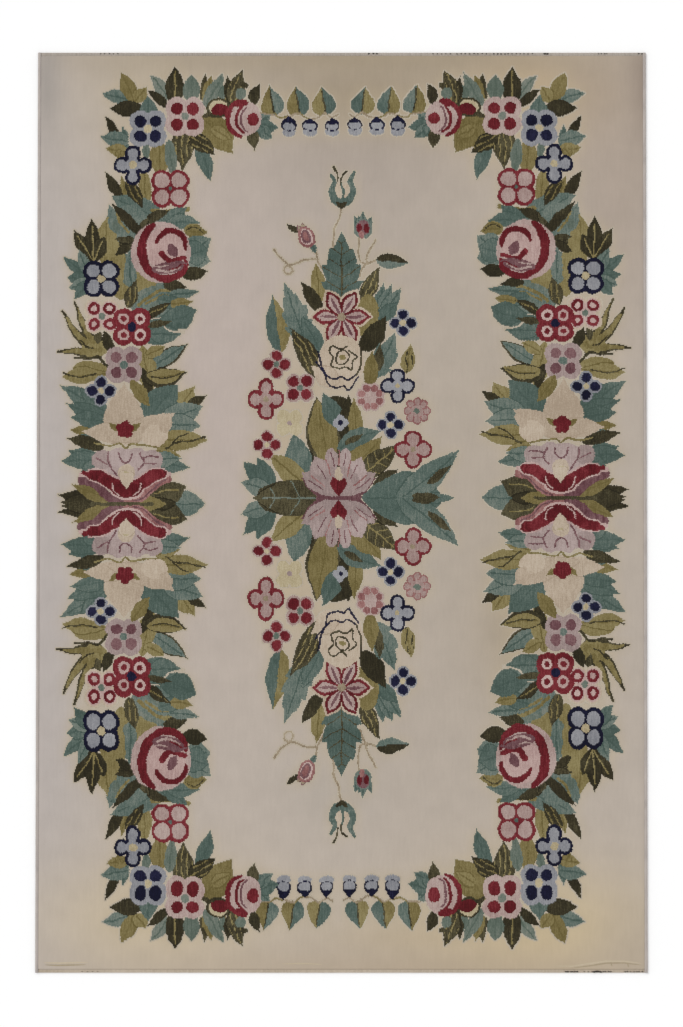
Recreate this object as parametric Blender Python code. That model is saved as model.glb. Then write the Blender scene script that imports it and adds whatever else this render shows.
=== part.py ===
"""Indian rug: a short-pile wool cloth with flat-woven ends and yarn-bound long sides, lying flat.

Metres, +Z up. The rug lies in the XY plane on its flat back, with its length along Y, and its
origin is the middle of the ground that it covers.
"""

import math

import bmesh
import bpy

# Outline: a six by nine foot rug, slightly wider at its near end than at its far end.
LENGTH = 2.758
NEAR_END_WIDTH = 1.8375
FAR_END_WIDTH = 1.8230
FAR_END_SHIFT = 0.0016

# Thickness of the pile, and of the bare flat weave left at each end.
PILE_THICKNESS = 0.0070
WEB_THICKNESS = 0.0042
WEB_WIDTH = 0.0090
PILE_SHOULDER = 0.0030
SIDE_ROUNDING = 0.0012
CLOTH_SHARP_ANGLE = math.radians(30.0)

# The yarn-bound cord sewn along each long side.
SIDE_CORD_WIDTH = 0.0105
SIDE_CORD_HEIGHT = 0.0084
SIDE_CORD_FACETS = 12
SIDE_CORD_STATIONS = 28
SIDE_CORD_UNEVENNESS = 0.025
SIDE_CORD_SHARP_ANGLE = math.radians(50.0)

# Waves of the cord's girth along its length: turns over the whole length, and share of each.
GIRTH_WAVES = (
    {"turns": 9.0, "share": 1.0},
    {"turns": 13.7, "share": 0.6},
)

# Air between neighbouring pieces.
GAP = 0.0003

# Faces across and along the cloth.
FACES_ACROSS = 30
FACES_ALONG = 46

# The cloth lies calm near its ends: the swells fade out over this distance.
END_CALM = 0.036

# Slow swells left in the cloth: wave counts across and along, phase, and height in metres.
SWELLS = (
    {"across": 1.6, "along": 2.3, "phase": 0.4, "height": 0.00035},
    {"across": 3.1, "along": 1.2, "phase": 2.1, "height": 0.00025},
    {"across": 2.2, "along": 5.4, "phase": 4.0, "height": 0.00022},
    {"across": 5.2, "along": 3.7, "phase": 1.3, "height": 0.00016},
)

# Colour, roughness and metallic value of each finish.
FINISHES = {
    "wool_pile": {"color": (0.468, 0.412, 0.352, 1.0), "roughness": 0.93, "metallic": 0.0},
    "binding_yarn": {"color": (0.385, 0.352, 0.330, 1.0), "roughness": 0.90, "metallic": 0.0},
}

COLLECTION_NAME = "indian_rug"


def clear_scene():
    """Remove every object of the open scene."""
    for scene_object in list(bpy.data.objects):
        bpy.data.objects.remove(scene_object, do_unlink=True)


def make_material(name):
    """Return a Principled material with the colour and finish of one yarn."""
    finish = FINISHES[name]
    material = bpy.data.materials.new(name)
    material.use_nodes = True
    shader = material.node_tree.nodes["Principled BSDF"]
    shader.inputs["Base Color"].default_value = finish["color"]
    shader.inputs["Roughness"].default_value = finish["roughness"]
    shader.inputs["Metallic"].default_value = finish["metallic"]
    material.diffuse_color = finish["color"]
    return material


def add_object(name, mesh, material, collection):
    """Put a finished mesh into the rug's collection under its own name."""
    mesh.materials.append(material)
    piece = bpy.data.objects.new(name, mesh)
    collection.objects.link(piece)
    return piece


def width_at(y):
    """Return the rug's full width at a place along its length."""
    share = y / LENGTH + 0.5
    return NEAR_END_WIDTH + (FAR_END_WIDTH - NEAR_END_WIDTH) * share


def middle_at(y):
    """Return the X of the rug's middle line at a place along its length."""
    return FAR_END_SHIFT * (y / LENGTH + 0.5)


def swell_at(x, y):
    """Return how far the slow swells lift or lower the cloth's face at a point."""
    across = x / NEAR_END_WIDTH
    along = y / LENGTH
    lift = 0.0
    for swell in SWELLS:
        turns = swell["across"] * across + swell["along"] * along
        lift += swell["height"] * math.sin(2.0 * math.pi * turns + swell["phase"])
    return lift


def girth_at(y, side):
    """Return the bound side's height at a place along it, as a share of its full height."""
    wave_sum = 0.0
    for wave in GIRTH_WAVES:
        wave_sum += wave["share"] * math.sin(2.0 * math.pi * wave["turns"] * y / LENGTH + side)
    share_sum = sum(wave["share"] for wave in GIRTH_WAVES)
    return 1.0 - SIDE_CORD_UNEVENNESS * (1.0 + wave_sum / share_sum)


def spread_stations(count, half_span, insets):
    """Return stations from one edge to the other, with the given insets kept at both edges."""
    left = [-half_span + inset for inset in insets]
    right = [half_span - inset for inset in reversed(insets)]
    inner_count = count + 1 - 2 * len(insets)
    start = left[-1]
    step = (right[0] - start) / (inner_count + 1)
    middle = [start + step * (index + 1) for index in range(inner_count)]
    return left + middle + right


def build_cloth(collection):
    """Build the pile cloth with its flat-woven ends as one solid with a flat back."""
    cloth_bmesh = bmesh.new()
    bmesh.ops.create_grid(
        cloth_bmesh, x_segments=FACES_ACROSS, y_segments=FACES_ALONG, size=1.0
    )
    web_inner = WEB_WIDTH + PILE_SHOULDER
    rows = spread_stations(FACES_ALONG, LENGTH / 2.0, [0.0, WEB_WIDTH, web_inner])
    side_allowance = SIDE_CORD_WIDTH + GAP
    for vertex in cloth_bmesh.verts:
        row = round((vertex.co.y + 1.0) / 2.0 * FACES_ALONG)
        column = round((vertex.co.x + 1.0) / 2.0 * FACES_ACROSS)
        y = rows[row]
        half_width = width_at(y) / 2.0 - side_allowance
        columns = spread_stations(FACES_ACROSS, half_width, [0.0, PILE_SHOULDER])
        x = middle_at(y) + columns[column]
        on_web = row <= 1 or row >= FACES_ALONG - 1
        top = WEB_THICKNESS if on_web else PILE_THICKNESS
        if column in (0, FACES_ACROSS):
            top -= SIDE_ROUNDING
        swell_share = min(1.0, (LENGTH / 2.0 - abs(y)) / END_CALM)
        vertex.co = (x, y, top + swell_at(x, y) * swell_share)

    top_faces = list(cloth_bmesh.faces)
    rim_edges = [edge for edge in cloth_bmesh.edges if edge.is_boundary]
    wall = bmesh.ops.extrude_edge_only(cloth_bmesh, edges=rim_edges)
    back_edges = [item for item in wall["geom"] if isinstance(item, bmesh.types.BMEdge)]
    back_edges = [edge for edge in back_edges if edge.is_boundary]
    for item in wall["geom"]:
        if isinstance(item, bmesh.types.BMVert):
            item.co.z = 0.0
    bmesh.ops.contextual_create(cloth_bmesh, geom=back_edges)
    bmesh.ops.recalc_face_normals(cloth_bmesh, faces=cloth_bmesh.faces)

    for face in top_faces:
        face.smooth = True
    mesh = bpy.data.meshes.new("rug")
    cloth_bmesh.to_mesh(mesh)
    cloth_bmesh.free()
    mesh.set_sharp_from_angle(angle=CLOTH_SHARP_ANGLE)
    return add_object("rug", mesh, make_material("wool_pile"), collection)


def build_side_cord(name, side, collection):
    """Build one bound side: an oval cord that lies along the cloth's long edge.

    The cord is a capped cylinder, cut into stations along its length, pressed oval and moved to
    the slanting edge. Its girth varies a little, as hand-wrapped yarn does.
    """
    cord_bmesh = bmesh.new()
    bmesh.ops.create_cone(
        cord_bmesh,
        cap_ends=True,
        segments=SIDE_CORD_FACETS,
        radius1=0.5,
        radius2=0.5,
        depth=LENGTH,
    )
    lengthwise = []
    for edge in cord_bmesh.edges:
        if edge.calc_length() > LENGTH / 2.0:
            lengthwise.append(edge)
    bmesh.ops.subdivide_edges(
        cord_bmesh, edges=lengthwise, cuts=SIDE_CORD_STATIONS - 1, use_grid_fill=True
    )
    for vertex in cord_bmesh.verts:
        across, height_share, y = vertex.co.x, vertex.co.y + 0.5, vertex.co.z
        x = middle_at(y) + side * (width_at(y) - SIDE_CORD_WIDTH) / 2.0
        height = SIDE_CORD_HEIGHT * girth_at(y, side) * height_share
        vertex.co = (x + across * SIDE_CORD_WIDTH, y, height)
    bmesh.ops.recalc_face_normals(cord_bmesh, faces=cord_bmesh.faces)
    for face in cord_bmesh.faces:
        face.smooth = True
    mesh = bpy.data.meshes.new(name)
    cord_bmesh.to_mesh(mesh)
    cord_bmesh.free()
    mesh.set_sharp_from_angle(angle=SIDE_CORD_SHARP_ANGLE)
    return add_object(name, mesh, make_material("binding_yarn"), collection)


def main():
    """Build the rug."""
    clear_scene()
    collection = bpy.data.collections.new(COLLECTION_NAME)
    bpy.context.scene.collection.children.link(collection)
    build_cloth(collection)
    build_side_cord("bound_side_left", -1.0, collection)
    build_side_cord("bound_side_right", 1.0, collection)


main()
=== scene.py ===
"""Indian rug: a cream wool pile rug with a flower garland, lying flat on a studio floor.

The pile is drawn the way a weaver's chart is: every knot is one cell of a chart, and each yarn's
knots make one piece of raised pile over the ground cloth. Metres, +Z up, +Y towards the far end.
"""

from __future__ import annotations

import logging
import math
from dataclasses import dataclass, field
from enum import IntEnum
from typing import Callable, Sequence, Union

import bpy
import numpy as np
from bpy.types import Material, Mesh, Node, NodeSocket, NodeTree, Object
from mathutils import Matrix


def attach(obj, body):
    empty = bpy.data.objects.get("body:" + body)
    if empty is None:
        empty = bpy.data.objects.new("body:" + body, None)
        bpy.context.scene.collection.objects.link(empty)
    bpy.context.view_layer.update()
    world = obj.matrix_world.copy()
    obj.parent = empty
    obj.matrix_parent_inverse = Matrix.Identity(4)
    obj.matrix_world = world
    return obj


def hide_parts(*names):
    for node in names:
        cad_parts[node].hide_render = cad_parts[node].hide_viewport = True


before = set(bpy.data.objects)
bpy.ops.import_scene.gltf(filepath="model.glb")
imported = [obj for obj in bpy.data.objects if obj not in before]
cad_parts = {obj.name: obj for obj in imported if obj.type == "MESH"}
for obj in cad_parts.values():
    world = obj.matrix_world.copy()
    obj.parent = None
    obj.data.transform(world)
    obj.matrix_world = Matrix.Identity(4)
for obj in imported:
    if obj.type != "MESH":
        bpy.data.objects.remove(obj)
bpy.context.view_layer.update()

LOG = logging.getLogger("indian_rug")
Array = np.ndarray

# The row has one body, which every piece of the rug rides on.
BODY = "root"

# The photograph's height in pixels, the metres of floor that one pixel covers, and the place on
# the floor that lies under the photograph's middle.
PHOTO_HEIGHT = 1027
PHOTO_SCALE = 0.0030
PHOTO_MIDDLE = (0.0003, -0.0024)

# One knot of the chart is a square of pile with this side, in metres.
KNOT = 0.0030

# The chart's size in knots. Its lines are numbered from the corner of the paper, so the first
# column and row of knots carry the margin's numbers. Columns count to the rug's right (+X) and
# rows from its far end to its near end.
CHART_COLUMNS = 603
CHART_ROWS = 910
FIRST_COLUMN = 40
FIRST_ROW = 50

# The column and row that lie over the rug's X = 0 and Y = 0.
COLUMN_AT_MIDDLE = 341.4
ROW_AT_MIDDLE = 512.7

# The lines about which the garland is mirrored: one column, and a row for each long side.
MIRROR_COLUMN = 343.5
LEFT_CROSS_ROW = 504.0
RIGHT_CROSS_ROW = 498.0
SPRAY_CROSS_ROW = 498.0

# How far from the cross row a knot of the near half lies, against its twin in the far half:
# the weaver's count drifted a little between the two halves.
GARLAND_DRIFT_NEAR = (0.0, 133.0, 184.0, 258.0, 317.6, 342.5, 379.0, 395.0, 495.0)
GARLAND_DRIFT_FAR = (0.0, 140.0, 188.0, 252.0, 315.0, 337.5, 375.0, 387.0, 487.0)
SPRAY_DRIFT_NEAR = (0.0, 53.0, 101.5, 138.0, 189.6, 306.0, 344.0, 494.0)
SPRAY_DRIFT_FAR = (0.0, 53.0, 99.5, 133.5, 181.0, 293.0, 331.0, 481.0)
RIGHT_NEAR_STRETCH = 0.9865

# How many columns further to the left the near end's bells and leaves hang than the far end's.
NEAR_FRIEZE_SHIFT = 5.4

# The wander of hand-tied outlines: knots per wave across and along, phase, and reach in knots.
WANDERS = (
    (23.0, 41.0, 0.3, 0.30),
    (37.0, 19.0, 2.2, 0.26),
    (11.0, 14.0, 4.1, 0.16),
)
KNOT_JITTER = 0.16

# How far the shade of one motif's dye lies from another's, and the shades of the lines that part
# two overlapping leaves of one yarn and that mark a plain leaf's midrib.
DYE_SPREAD = 0.18
PARTING_SHADE = 0.0
MIDRIB_SHADE = 0.16
DYE_TURNS = (1.7, 2.3)
CHART_SEED = 23

# How leaves are drawn. As shares of the half width, a tooth's foot and rise. In knots, the rim
# that parts a leaf from what lies under it, half the midrib, a side vein, and how far side veins
# and streaks keep from the edge. As shares of the way up, the midrib's ends.
TOOTH_FOOT = 0.76
TOOTH_RISE = 0.30
PARTING_REACH = 1.2
MIDRIB_HALF_WIDTH = 0.75
SIDE_VEIN_WIDTH = 1.1
SIDE_VEIN_INSET = 1.0
STREAK_INSET = 1.4
MIDRIB_START = 0.06
MIDRIB_END = 0.86

# A shape is worked out in a window of the chart that reaches this many knots past it, and a
# line's smooth curve is cut into this many straight pieces between two of its points.
WINDOW_MARGIN = 3.0
LINE_PIECES = 4


class Yarn(IntEnum):
    """The yarns of the chart, in the order of their numbers on it."""

    GROUND = 0
    HALO = 1
    TEAL = 2
    MIST = 3
    OLIVE = 4
    INK = 5
    CRIMSON = 6
    NAVY = 7
    PALE_BLUE = 8
    PINK = 9
    CREAM = 10
    LILAC = 11
    MAUVE = 12
    STRAW = 13
    ROSE = 14
    FAWN = 15
    BLUSH = 16


TEAL, MIST, OLIVE, INK = Yarn.TEAL, Yarn.MIST, Yarn.OLIVE, Yarn.INK
CRIMSON, NAVY, PALE_BLUE, PINK = Yarn.CRIMSON, Yarn.NAVY, Yarn.PALE_BLUE, Yarn.PINK
CREAM, LILAC, MAUVE, STRAW = Yarn.CREAM, Yarn.LILAC, Yarn.MAUVE, Yarn.STRAW
ROSE, FAWN, BLUSH, HALO = Yarn.ROSE, Yarn.FAWN, Yarn.BLUSH, Yarn.HALO


@dataclass
class ChartPart:
    """A part of the chart that is knotted from one drawing.

    Attributes:
        yarns: The part's own cells of the chart's yarn numbers.
        shades: The dye's depth at each of these cells, from 0, deep, to 1, pale.
        columns: The drawing's column at each of these cells.
        rows: The drawing's row at each of these cells.
    """

    yarns: Array
    shades: Array
    columns: Array
    rows: Array

    def tie(
        self,
        yarn: Yarn,
        middle: tuple[float, float],
        reach: float,
        inside: Callable[[Array, Array], Array],
        shade: float | None = None,
    ) -> None:
        """Tie one yarn into the knots that a shape covers.

        Each shape is knotted from a dye bath of its own, so its shade is 0.5 plus DYE_SPREAD
        times a sine of its place. With a shade given, only that shade is laid over the knots
        which already hold the yarn.

        Args:
            yarn: The yarn to tie.
            middle: The column and row of the shape's middle.
            reach: How far the shape reaches from its middle, in knots.
            inside: Tells for columns and rows of the drawing which lie inside the shape.
            shade: The shade to lay over the yarn's own knots, or None to tie the yarn.
        """
        middle_row, middle_column = self.columns.shape[0] // 2, self.columns.shape[1] // 2
        across = np.abs(self.columns[middle_row] - middle[0]) <= reach + WINDOW_MARGIN
        along = np.abs(self.rows[:, middle_column] - middle[1]) <= reach + WINDOW_MARGIN
        if not across.any() or not along.any():
            return
        picked_columns, picked_rows = np.flatnonzero(across), np.flatnonzero(along)
        window = (
            slice(picked_rows[0], picked_rows[-1] + 1),
            slice(picked_columns[0], picked_columns[-1] + 1),
        )
        covered = inside(self.columns[window], self.rows[window])
        if shade is not None:
            self.shades[window][covered & (self.yarns[window] == yarn)] = shade
            return
        self.yarns[window][covered] = yarn
        bath = math.sin(middle[0] * DYE_TURNS[0] + middle[1] * DYE_TURNS[1] + yarn)
        self.shades[window][covered] = 0.5 + DYE_SPREAD * bath


# The motifs below are drawn in columns and rows of the chart. Their sizes are in knots, and
# their turns and angles in degrees clockwise from the right.


@dataclass(frozen=True)
class Leaf:
    """One leaf, from the middle of its foot to its tip.

    Its half width at the share s of the way up is width/2 times sin(pi s^a)^(0.6 + 0.6 s), with
    a set by where the leaf is widest. Teeth cut the edge in a saw line, and bend bows the leaf
    to its right-hand side, seen from foot to tip.

    Attributes:
        yarn: The blade's yarn.
        foot_column, foot_row: The place of its foot.
        tip_column, tip_row: The place of its tip.
        width: Its full width.
        bend: How far its middle is bowed.
        widest: The share of the way up at which it is widest.
        teeth: How many teeth cut each side.
        vein: The yarn of its veins, where they have one of their own.
        ribs: How many pairs of side veins it has.
        streak: The yarn of the streaks inside the blade.
        half: The yarn of its right-hand half.
    """

    yarn: Yarn
    foot_column: float
    foot_row: float
    tip_column: float
    tip_row: float
    width: float
    bend: float = 0.0
    widest: float = 0.42
    teeth: int = 0
    vein: Yarn | None = None
    ribs: int = 0
    streak: Yarn | None = None
    half: Yarn | None = None

    def tie_into(self, part: ChartPart) -> None:
        """Tie the leaf, then its right half, its streaks, its midrib and its side veins.

        Args:
            part: The part of the chart to tie it into.
        """
        run = (self.tip_column - self.foot_column, self.tip_row - self.foot_row)
        length = math.hypot(*run)
        middle = (self.foot_column + run[0] / 2.0, self.foot_row + run[1] / 2.0)
        reach = length / 2.0 + self.width / 2.0 + abs(self.bend)
        power = math.log(0.5) / math.log(self.widest)

        def measures(columns: Array, rows: Array) -> tuple:
            """Return the share of the way up, the distance from the midrib and the half width."""
            over, down = columns - self.foot_column, rows - self.foot_row
            along = (over * run[0] + down * run[1]) / length**2
            share = np.clip(along, 0.0, 1.0)
            side = (down * run[0] - over * run[1]) / length
            side = side - self.bend * 4.0 * share * (1.0 - share)
            half = self.width / 2.0 * np.sin(np.pi * share**power) ** (0.6 + 0.6 * share)
            if self.teeth:
                half = half * (TOOTH_FOOT + TOOTH_RISE * np.mod(share * self.teeth, 1.0))
            half = np.where((along > 0.0) & (along < 1.0), half, -1.0)
            return share, side, half

        def blade(columns: Array, rows: Array) -> Array:
            """Tell which knots lie on the blade."""
            share, side, half = measures(columns, rows)
            return np.abs(side) <= half

        def right_half(columns: Array, rows: Array) -> Array:
            """Tell which knots lie on the blade's right-hand side."""
            share, side, half = measures(columns, rows)
            return (np.abs(side) <= half) & (side > 0.0)

        def streaks(columns: Array, rows: Array) -> Array:
            """Tell which knots lie on the lengthwise streaks inside the blade.

            A streak runs where a wave across the blade, bowed by the way up, is above 0.62. It
            breaks off where a second wave along the blade is below -0.75.
            """
            share, side, half = measures(columns, rows)
            bow = 1.6 * np.sin(share * 5.0 + self.tip_row)
            wave = np.sin(side * 1.15 + bow + self.tip_column)
            unbroken = np.sin(share * 23.0 + side * 1.9 + self.foot_row) > -0.75
            return (np.abs(side) <= half - STREAK_INSET) & (wave > 0.62) & unbroken

        def veins(columns: Array, rows: Array) -> Array:
            """Tell which knots lie on the midrib or on a side vein."""
            share, side, half = measures(columns, rows)
            midrib = (np.abs(side) < MIDRIB_HALF_WIDTH) & (share > MIDRIB_START)
            midrib &= (share < MIDRIB_END) & (half > PARTING_REACH)
            if not self.ribs:
                return midrib
            slant = np.mod(share * self.ribs - np.abs(side) * 0.6 * self.ribs / length, 1.0)
            side_veins = slant < SIDE_VEIN_WIDTH * self.ribs / length
            side_veins &= (np.abs(side) < half - SIDE_VEIN_INSET) & (half > PARTING_REACH)
            return midrib | side_veins

        def rim(columns: Array, rows: Array) -> Array:
            """Tell which knots lie on the blade or on the rim beside it."""
            share, side, half = measures(columns, rows)
            return (half > 0.0) & (np.abs(side) <= half + PARTING_REACH)

        part.tie(self.yarn, middle, reach, rim, PARTING_SHADE)
        part.tie(self.yarn, middle, reach, blade)
        if self.yarn in (TEAL, OLIVE, MIST):
            part.tie(self.yarn, middle, reach, veins, MIDRIB_SHADE)
        if self.half is not None:
            part.tie(self.half, middle, reach, right_half)
        if self.streak is not None:
            part.tie(self.streak, middle, reach, streaks)
        if self.vein is not None:
            part.tie(self.vein, middle, reach, veins)


@dataclass(frozen=True)
class Tuft:
    """A spread of pointed fingers from one foot, as a lobed leaf has: one leaf to each tip.

    Attributes:
        yarn: The fingers' yarn.
        foot_column, foot_row: The place of the foot.
        width: The full width of a finger.
        tips: The place of each tip.
        vein: The yarn of a line along each finger.
        edge: The yarn of each finger's edge.
        rim: The width of that edge.
    """

    yarn: Yarn
    foot_column: float
    foot_row: float
    width: float
    tips: tuple[tuple[float, float], ...]
    vein: Yarn | None = None
    edge: Yarn | None = None
    rim: float = 1.8

    def tie_into(self, part: ChartPart) -> None:
        """Tie into a part of the chart every finger in turn, in its edge where it has one."""
        foot = (self.foot_column, self.foot_row)
        for tip in self.tips:
            if self.edge is not None:
                outer = self.width + 2 * self.rim
                Leaf(self.edge, *foot, *tip, outer, widest=0.5).tie_into(part)
                tip = tuple(stop * 0.94 + start * 0.06 for start, stop in zip(foot, tip))
            Leaf(self.yarn, *foot, *tip, self.width, widest=0.5).tie_into(part)
        if self.vein is None:
            return
        for tip in self.tips:
            end = tuple(start + 0.8 * (stop - start) for start, stop in zip(foot, tip))
            Line(self.vein, 1.3, (foot, end)).tie_into(part)


@dataclass(frozen=True)
class Spot:
    """A round or oval spot: the knots where (x/half_width)^2 + (y/half_height)^2 is below 1.

    Attributes:
        yarn: Its yarn.
        column, row: The place of its middle.
        half_width: Half its width.
        half_height: Half its height, or 0 for a round spot.
        turn: How far it is turned.
    """

    yarn: Yarn
    column: float
    row: float
    half_width: float
    half_height: float = 0.0
    turn: float = 0.0

    def tie_into(self, part: ChartPart) -> None:
        """Tie into a part of the chart the spot."""
        half_height = self.half_height or self.half_width
        cosine, sine = math.cos(math.radians(self.turn)), math.sin(math.radians(self.turn))

        def oval(columns: Array, rows: Array) -> Array:
            """Tell which knots lie inside the oval."""
            over, down = columns - self.column, rows - self.row
            wide = (over * cosine + down * sine) / self.half_width
            high = (down * cosine - over * sine) / half_height
            return wide * wide + high * high <= 1.0

        reach = max(self.half_width, half_height)
        part.tie(self.yarn, (self.column, self.row), reach, oval)


@dataclass(frozen=True)
class Arc:
    """A curved band on an oval, between two angles counted clockwise from the right.

    A knot is inside where its distance from the oval is below half the band's width, which
    falls to nothing at both ends as the fourth root of sin(pi s). A full turn doesn't taper.

    Attributes:
        yarn: Its yarn.
        column, row: The place of the oval's middle.
        half_width, half_height: The oval's half sizes.
        band: The band's width.
        start, end: The angles at which it starts and ends.
    """

    yarn: Yarn
    column: float
    row: float
    half_width: float
    half_height: float
    band: float
    start: float
    end: float

    def tie_into(self, part: ChartPart) -> None:
        """Tie into a part of the chart the band."""

        def band(columns: Array, rows: Array) -> Array:
            """Tell which knots lie on the band."""
            over, down = columns - self.column, rows - self.row
            angle = np.degrees(np.arctan2(down / self.half_height, over / self.half_width))
            turned = np.mod(angle - self.start, 360.0)
            span = self.end - self.start
            share = np.clip(turned / span, 0.0, 1.0)
            across = np.hypot(over / self.half_width, down / self.half_height)
            size = np.hypot(over, down) / np.maximum(across, 0.01)
            away = np.abs(across - 1.0) * size
            taper = np.sin(np.pi * share) ** 0.25 if span < 359.0 else 1.0
            return (turned <= span) & (away <= self.band / 2.0 * taper)

        reach = max(self.half_width, self.half_height) + self.band
        part.tie(self.yarn, (self.column, self.row), reach, band)


@dataclass(frozen=True)
class Line:
    """A drawn line through points, of one width or tapering to its end.

    Each stretch is the curve that passes smoothly through its points, cut into short straight
    pieces. A knot is inside where it is nearer to a piece than half the width there.

    Attributes:
        yarn: Its yarn.
        width: Its width at the first point.
        points: The place of each point.
        end_width: Its width at the last point, or 0 for the same as at the first.
    """

    yarn: Yarn
    width: float
    points: tuple[tuple[float, float], ...]
    end_width: float = 0.0

    def tie_into(self, part: ChartPart) -> None:
        """Tie into a part of the chart the line."""
        path = self._path()
        shares = np.linspace(0.0, 1.0, len(path))
        last = self.end_width or self.width
        for index in range(len(path) - 1):
            near, far = path[index], path[index + 1]
            half = (self.width + (last - self.width) * shares[index]) / 2.0
            span = far - near
            length = float(np.dot(span, span)) or 1.0

            def stroke(columns: Array, rows: Array) -> Array:
                """Tell which knots lie on this straight piece."""
                over, down = columns - near[0], rows - near[1]
                share = np.clip((over * span[0] + down * span[1]) / length, 0.0, 1.0)
                away = np.hypot(over - share * span[0], down - share * span[1])
                return away <= half

            middle = tuple((near + far) / 2.0)
            part.tie(self.yarn, middle, math.sqrt(length) / 2.0 + half, stroke)

    def _path(self) -> Array:
        """Return the points of the smooth curve through the line's points."""
        points = np.array(self.points, dtype=float)
        if len(points) == 2:
            return points
        padded = np.vstack([2 * points[0] - points[1], points, 2 * points[-1] - points[-2]])
        shares = np.linspace(0.0, 1.0, LINE_PIECES + 1)[:-1, None]
        stretches = []
        for before, start, end, after in zip(padded, padded[1:], padded[2:], padded[3:]):
            bend = 2 * before - 5 * start + 4 * end - after
            curl = 3 * start - before - 3 * end + after
            stretch = 2 * start + (end - before) * shares + bend * shares**2 + curl * shares**3
            stretches.append(stretch / 2.0)
        return np.vstack(stretches + [points[-1:]])


@dataclass(frozen=True)
class Blossom:
    """A small flower of round petals round an eye, with an outline and a spot in each petal.

    The flower is the union of equal discs on a circle and of a disc at the middle. The petals
    stand on the diagonals where turn is 45 and there are four.

    Attributes:
        column, row: The place of its middle.
        reach: From its middle to the middle of a petal.
        petal: The radius of a petal.
        outline: The yarn of its outline.
        fill: The yarn inside the outline.
        rim: The width of the outline, or 0 where the outline's yarn fills the flower.
        spot, spot_size: The yarn and radius of the spot in each petal.
        spot_reach: From the flower's middle to the middle of a spot.
        core, core_size: The yarn and radius of the dot in each spot.
        eye, eye_size: The yarn and radius of its eye.
        turn: The angle of the first petal.
        petals: How many petals it has.
        squash: Its height as a share of its width.
    """

    column: float
    row: float
    reach: float
    petal: float
    outline: Yarn
    fill: Yarn
    rim: float = 0.0
    spot: Yarn | None = None
    spot_size: float = 0.0
    spot_reach: float = 0.0
    core: Yarn | None = None
    core_size: float = 0.0
    eye: Yarn | None = None
    eye_size: float = 0.0
    turn: float = 45.0
    petals: int = 4
    squash: float = 1.0

    def tie_into(self, part: ChartPart) -> None:
        """Tie the outline, the petals, their spots and the eye.

        Args:
            part: The part of the chart to tie it into.
        """
        angles = np.radians(self.turn + np.arange(self.petals) * 360.0 / self.petals)

        def grown(margin: float) -> Callable[[Array, Array], Array]:
            """Return the test for the petals, drawn in by a margin."""

            def inside(columns: Array, rows: Array) -> Array:
                """Tell which knots lie on a petal or between the petals at the middle."""
                over, down = columns - self.column, (rows - self.row) / self.squash
                nearest = np.hypot(over, down) - self.reach * 0.85
                for angle in angles:
                    petal_over = over - self.reach * math.cos(angle)
                    petal_down = down - self.reach * math.sin(angle)
                    nearest = np.minimum(nearest, np.hypot(petal_over, petal_down) - self.petal)
                return nearest <= -margin

            return inside

        whole = (self.reach + self.petal) * max(1.0, self.squash)
        part.tie(self.outline, (self.column, self.row), whole, grown(0.0))
        if self.rim:
            part.tie(self.fill, (self.column, self.row), whole, grown(self.rim))
        if self.spot is not None:
            for angle in angles:
                spot_column = self.column + self.spot_reach * math.cos(angle)
                spot_row = self.row + self.spot_reach * math.sin(angle) * self.squash
                Spot(self.spot, spot_column, spot_row, self.spot_size).tie_into(part)
                if self.core is not None:
                    Spot(self.core, spot_column, spot_row, self.core_size).tie_into(part)
        if self.eye is not None:
            Spot(self.eye, self.column, self.row, self.eye_size).tie_into(part)


@dataclass(frozen=True)
class Star:
    """A flower of pointed petals, each an outlined leaf that starts at the middle.

    Attributes:
        column, row: The place of its middle.
        length: From its middle to the tip of a petal.
        width: The full width of a petal.
        outline, fill: The yarns of the outline and of what it encloses.
        rim: The width of the outline.
        petals: How many petals it has.
        turn: The angle of the first petal.
    """

    column: float
    row: float
    length: float
    width: float
    outline: Yarn
    fill: Yarn
    rim: float
    petals: int = 6
    turn: float = 0.0

    def tie_into(self, part: ChartPart) -> None:
        """Tie into a part of the chart the outlines of all petals, then what they enclose."""
        for yarn, margin in ((self.outline, 0.0), (self.fill, self.rim)):
            for petal in range(self.petals):
                angle = math.radians(self.turn + petal * 360.0 / self.petals)
                over, down = math.cos(angle), math.sin(angle)
                length = self.length - 1.4 * margin
                start = (self.column + margin * over, self.row + margin * down)
                tip = (self.column + length * over, self.row + length * down)
                width = self.width - 2.0 * margin
                Leaf(yarn, *start, *tip, width, widest=0.55).tie_into(part)


Motif = Union[Leaf, Tuft, Spot, Arc, Line, Blossom, Star]

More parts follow.
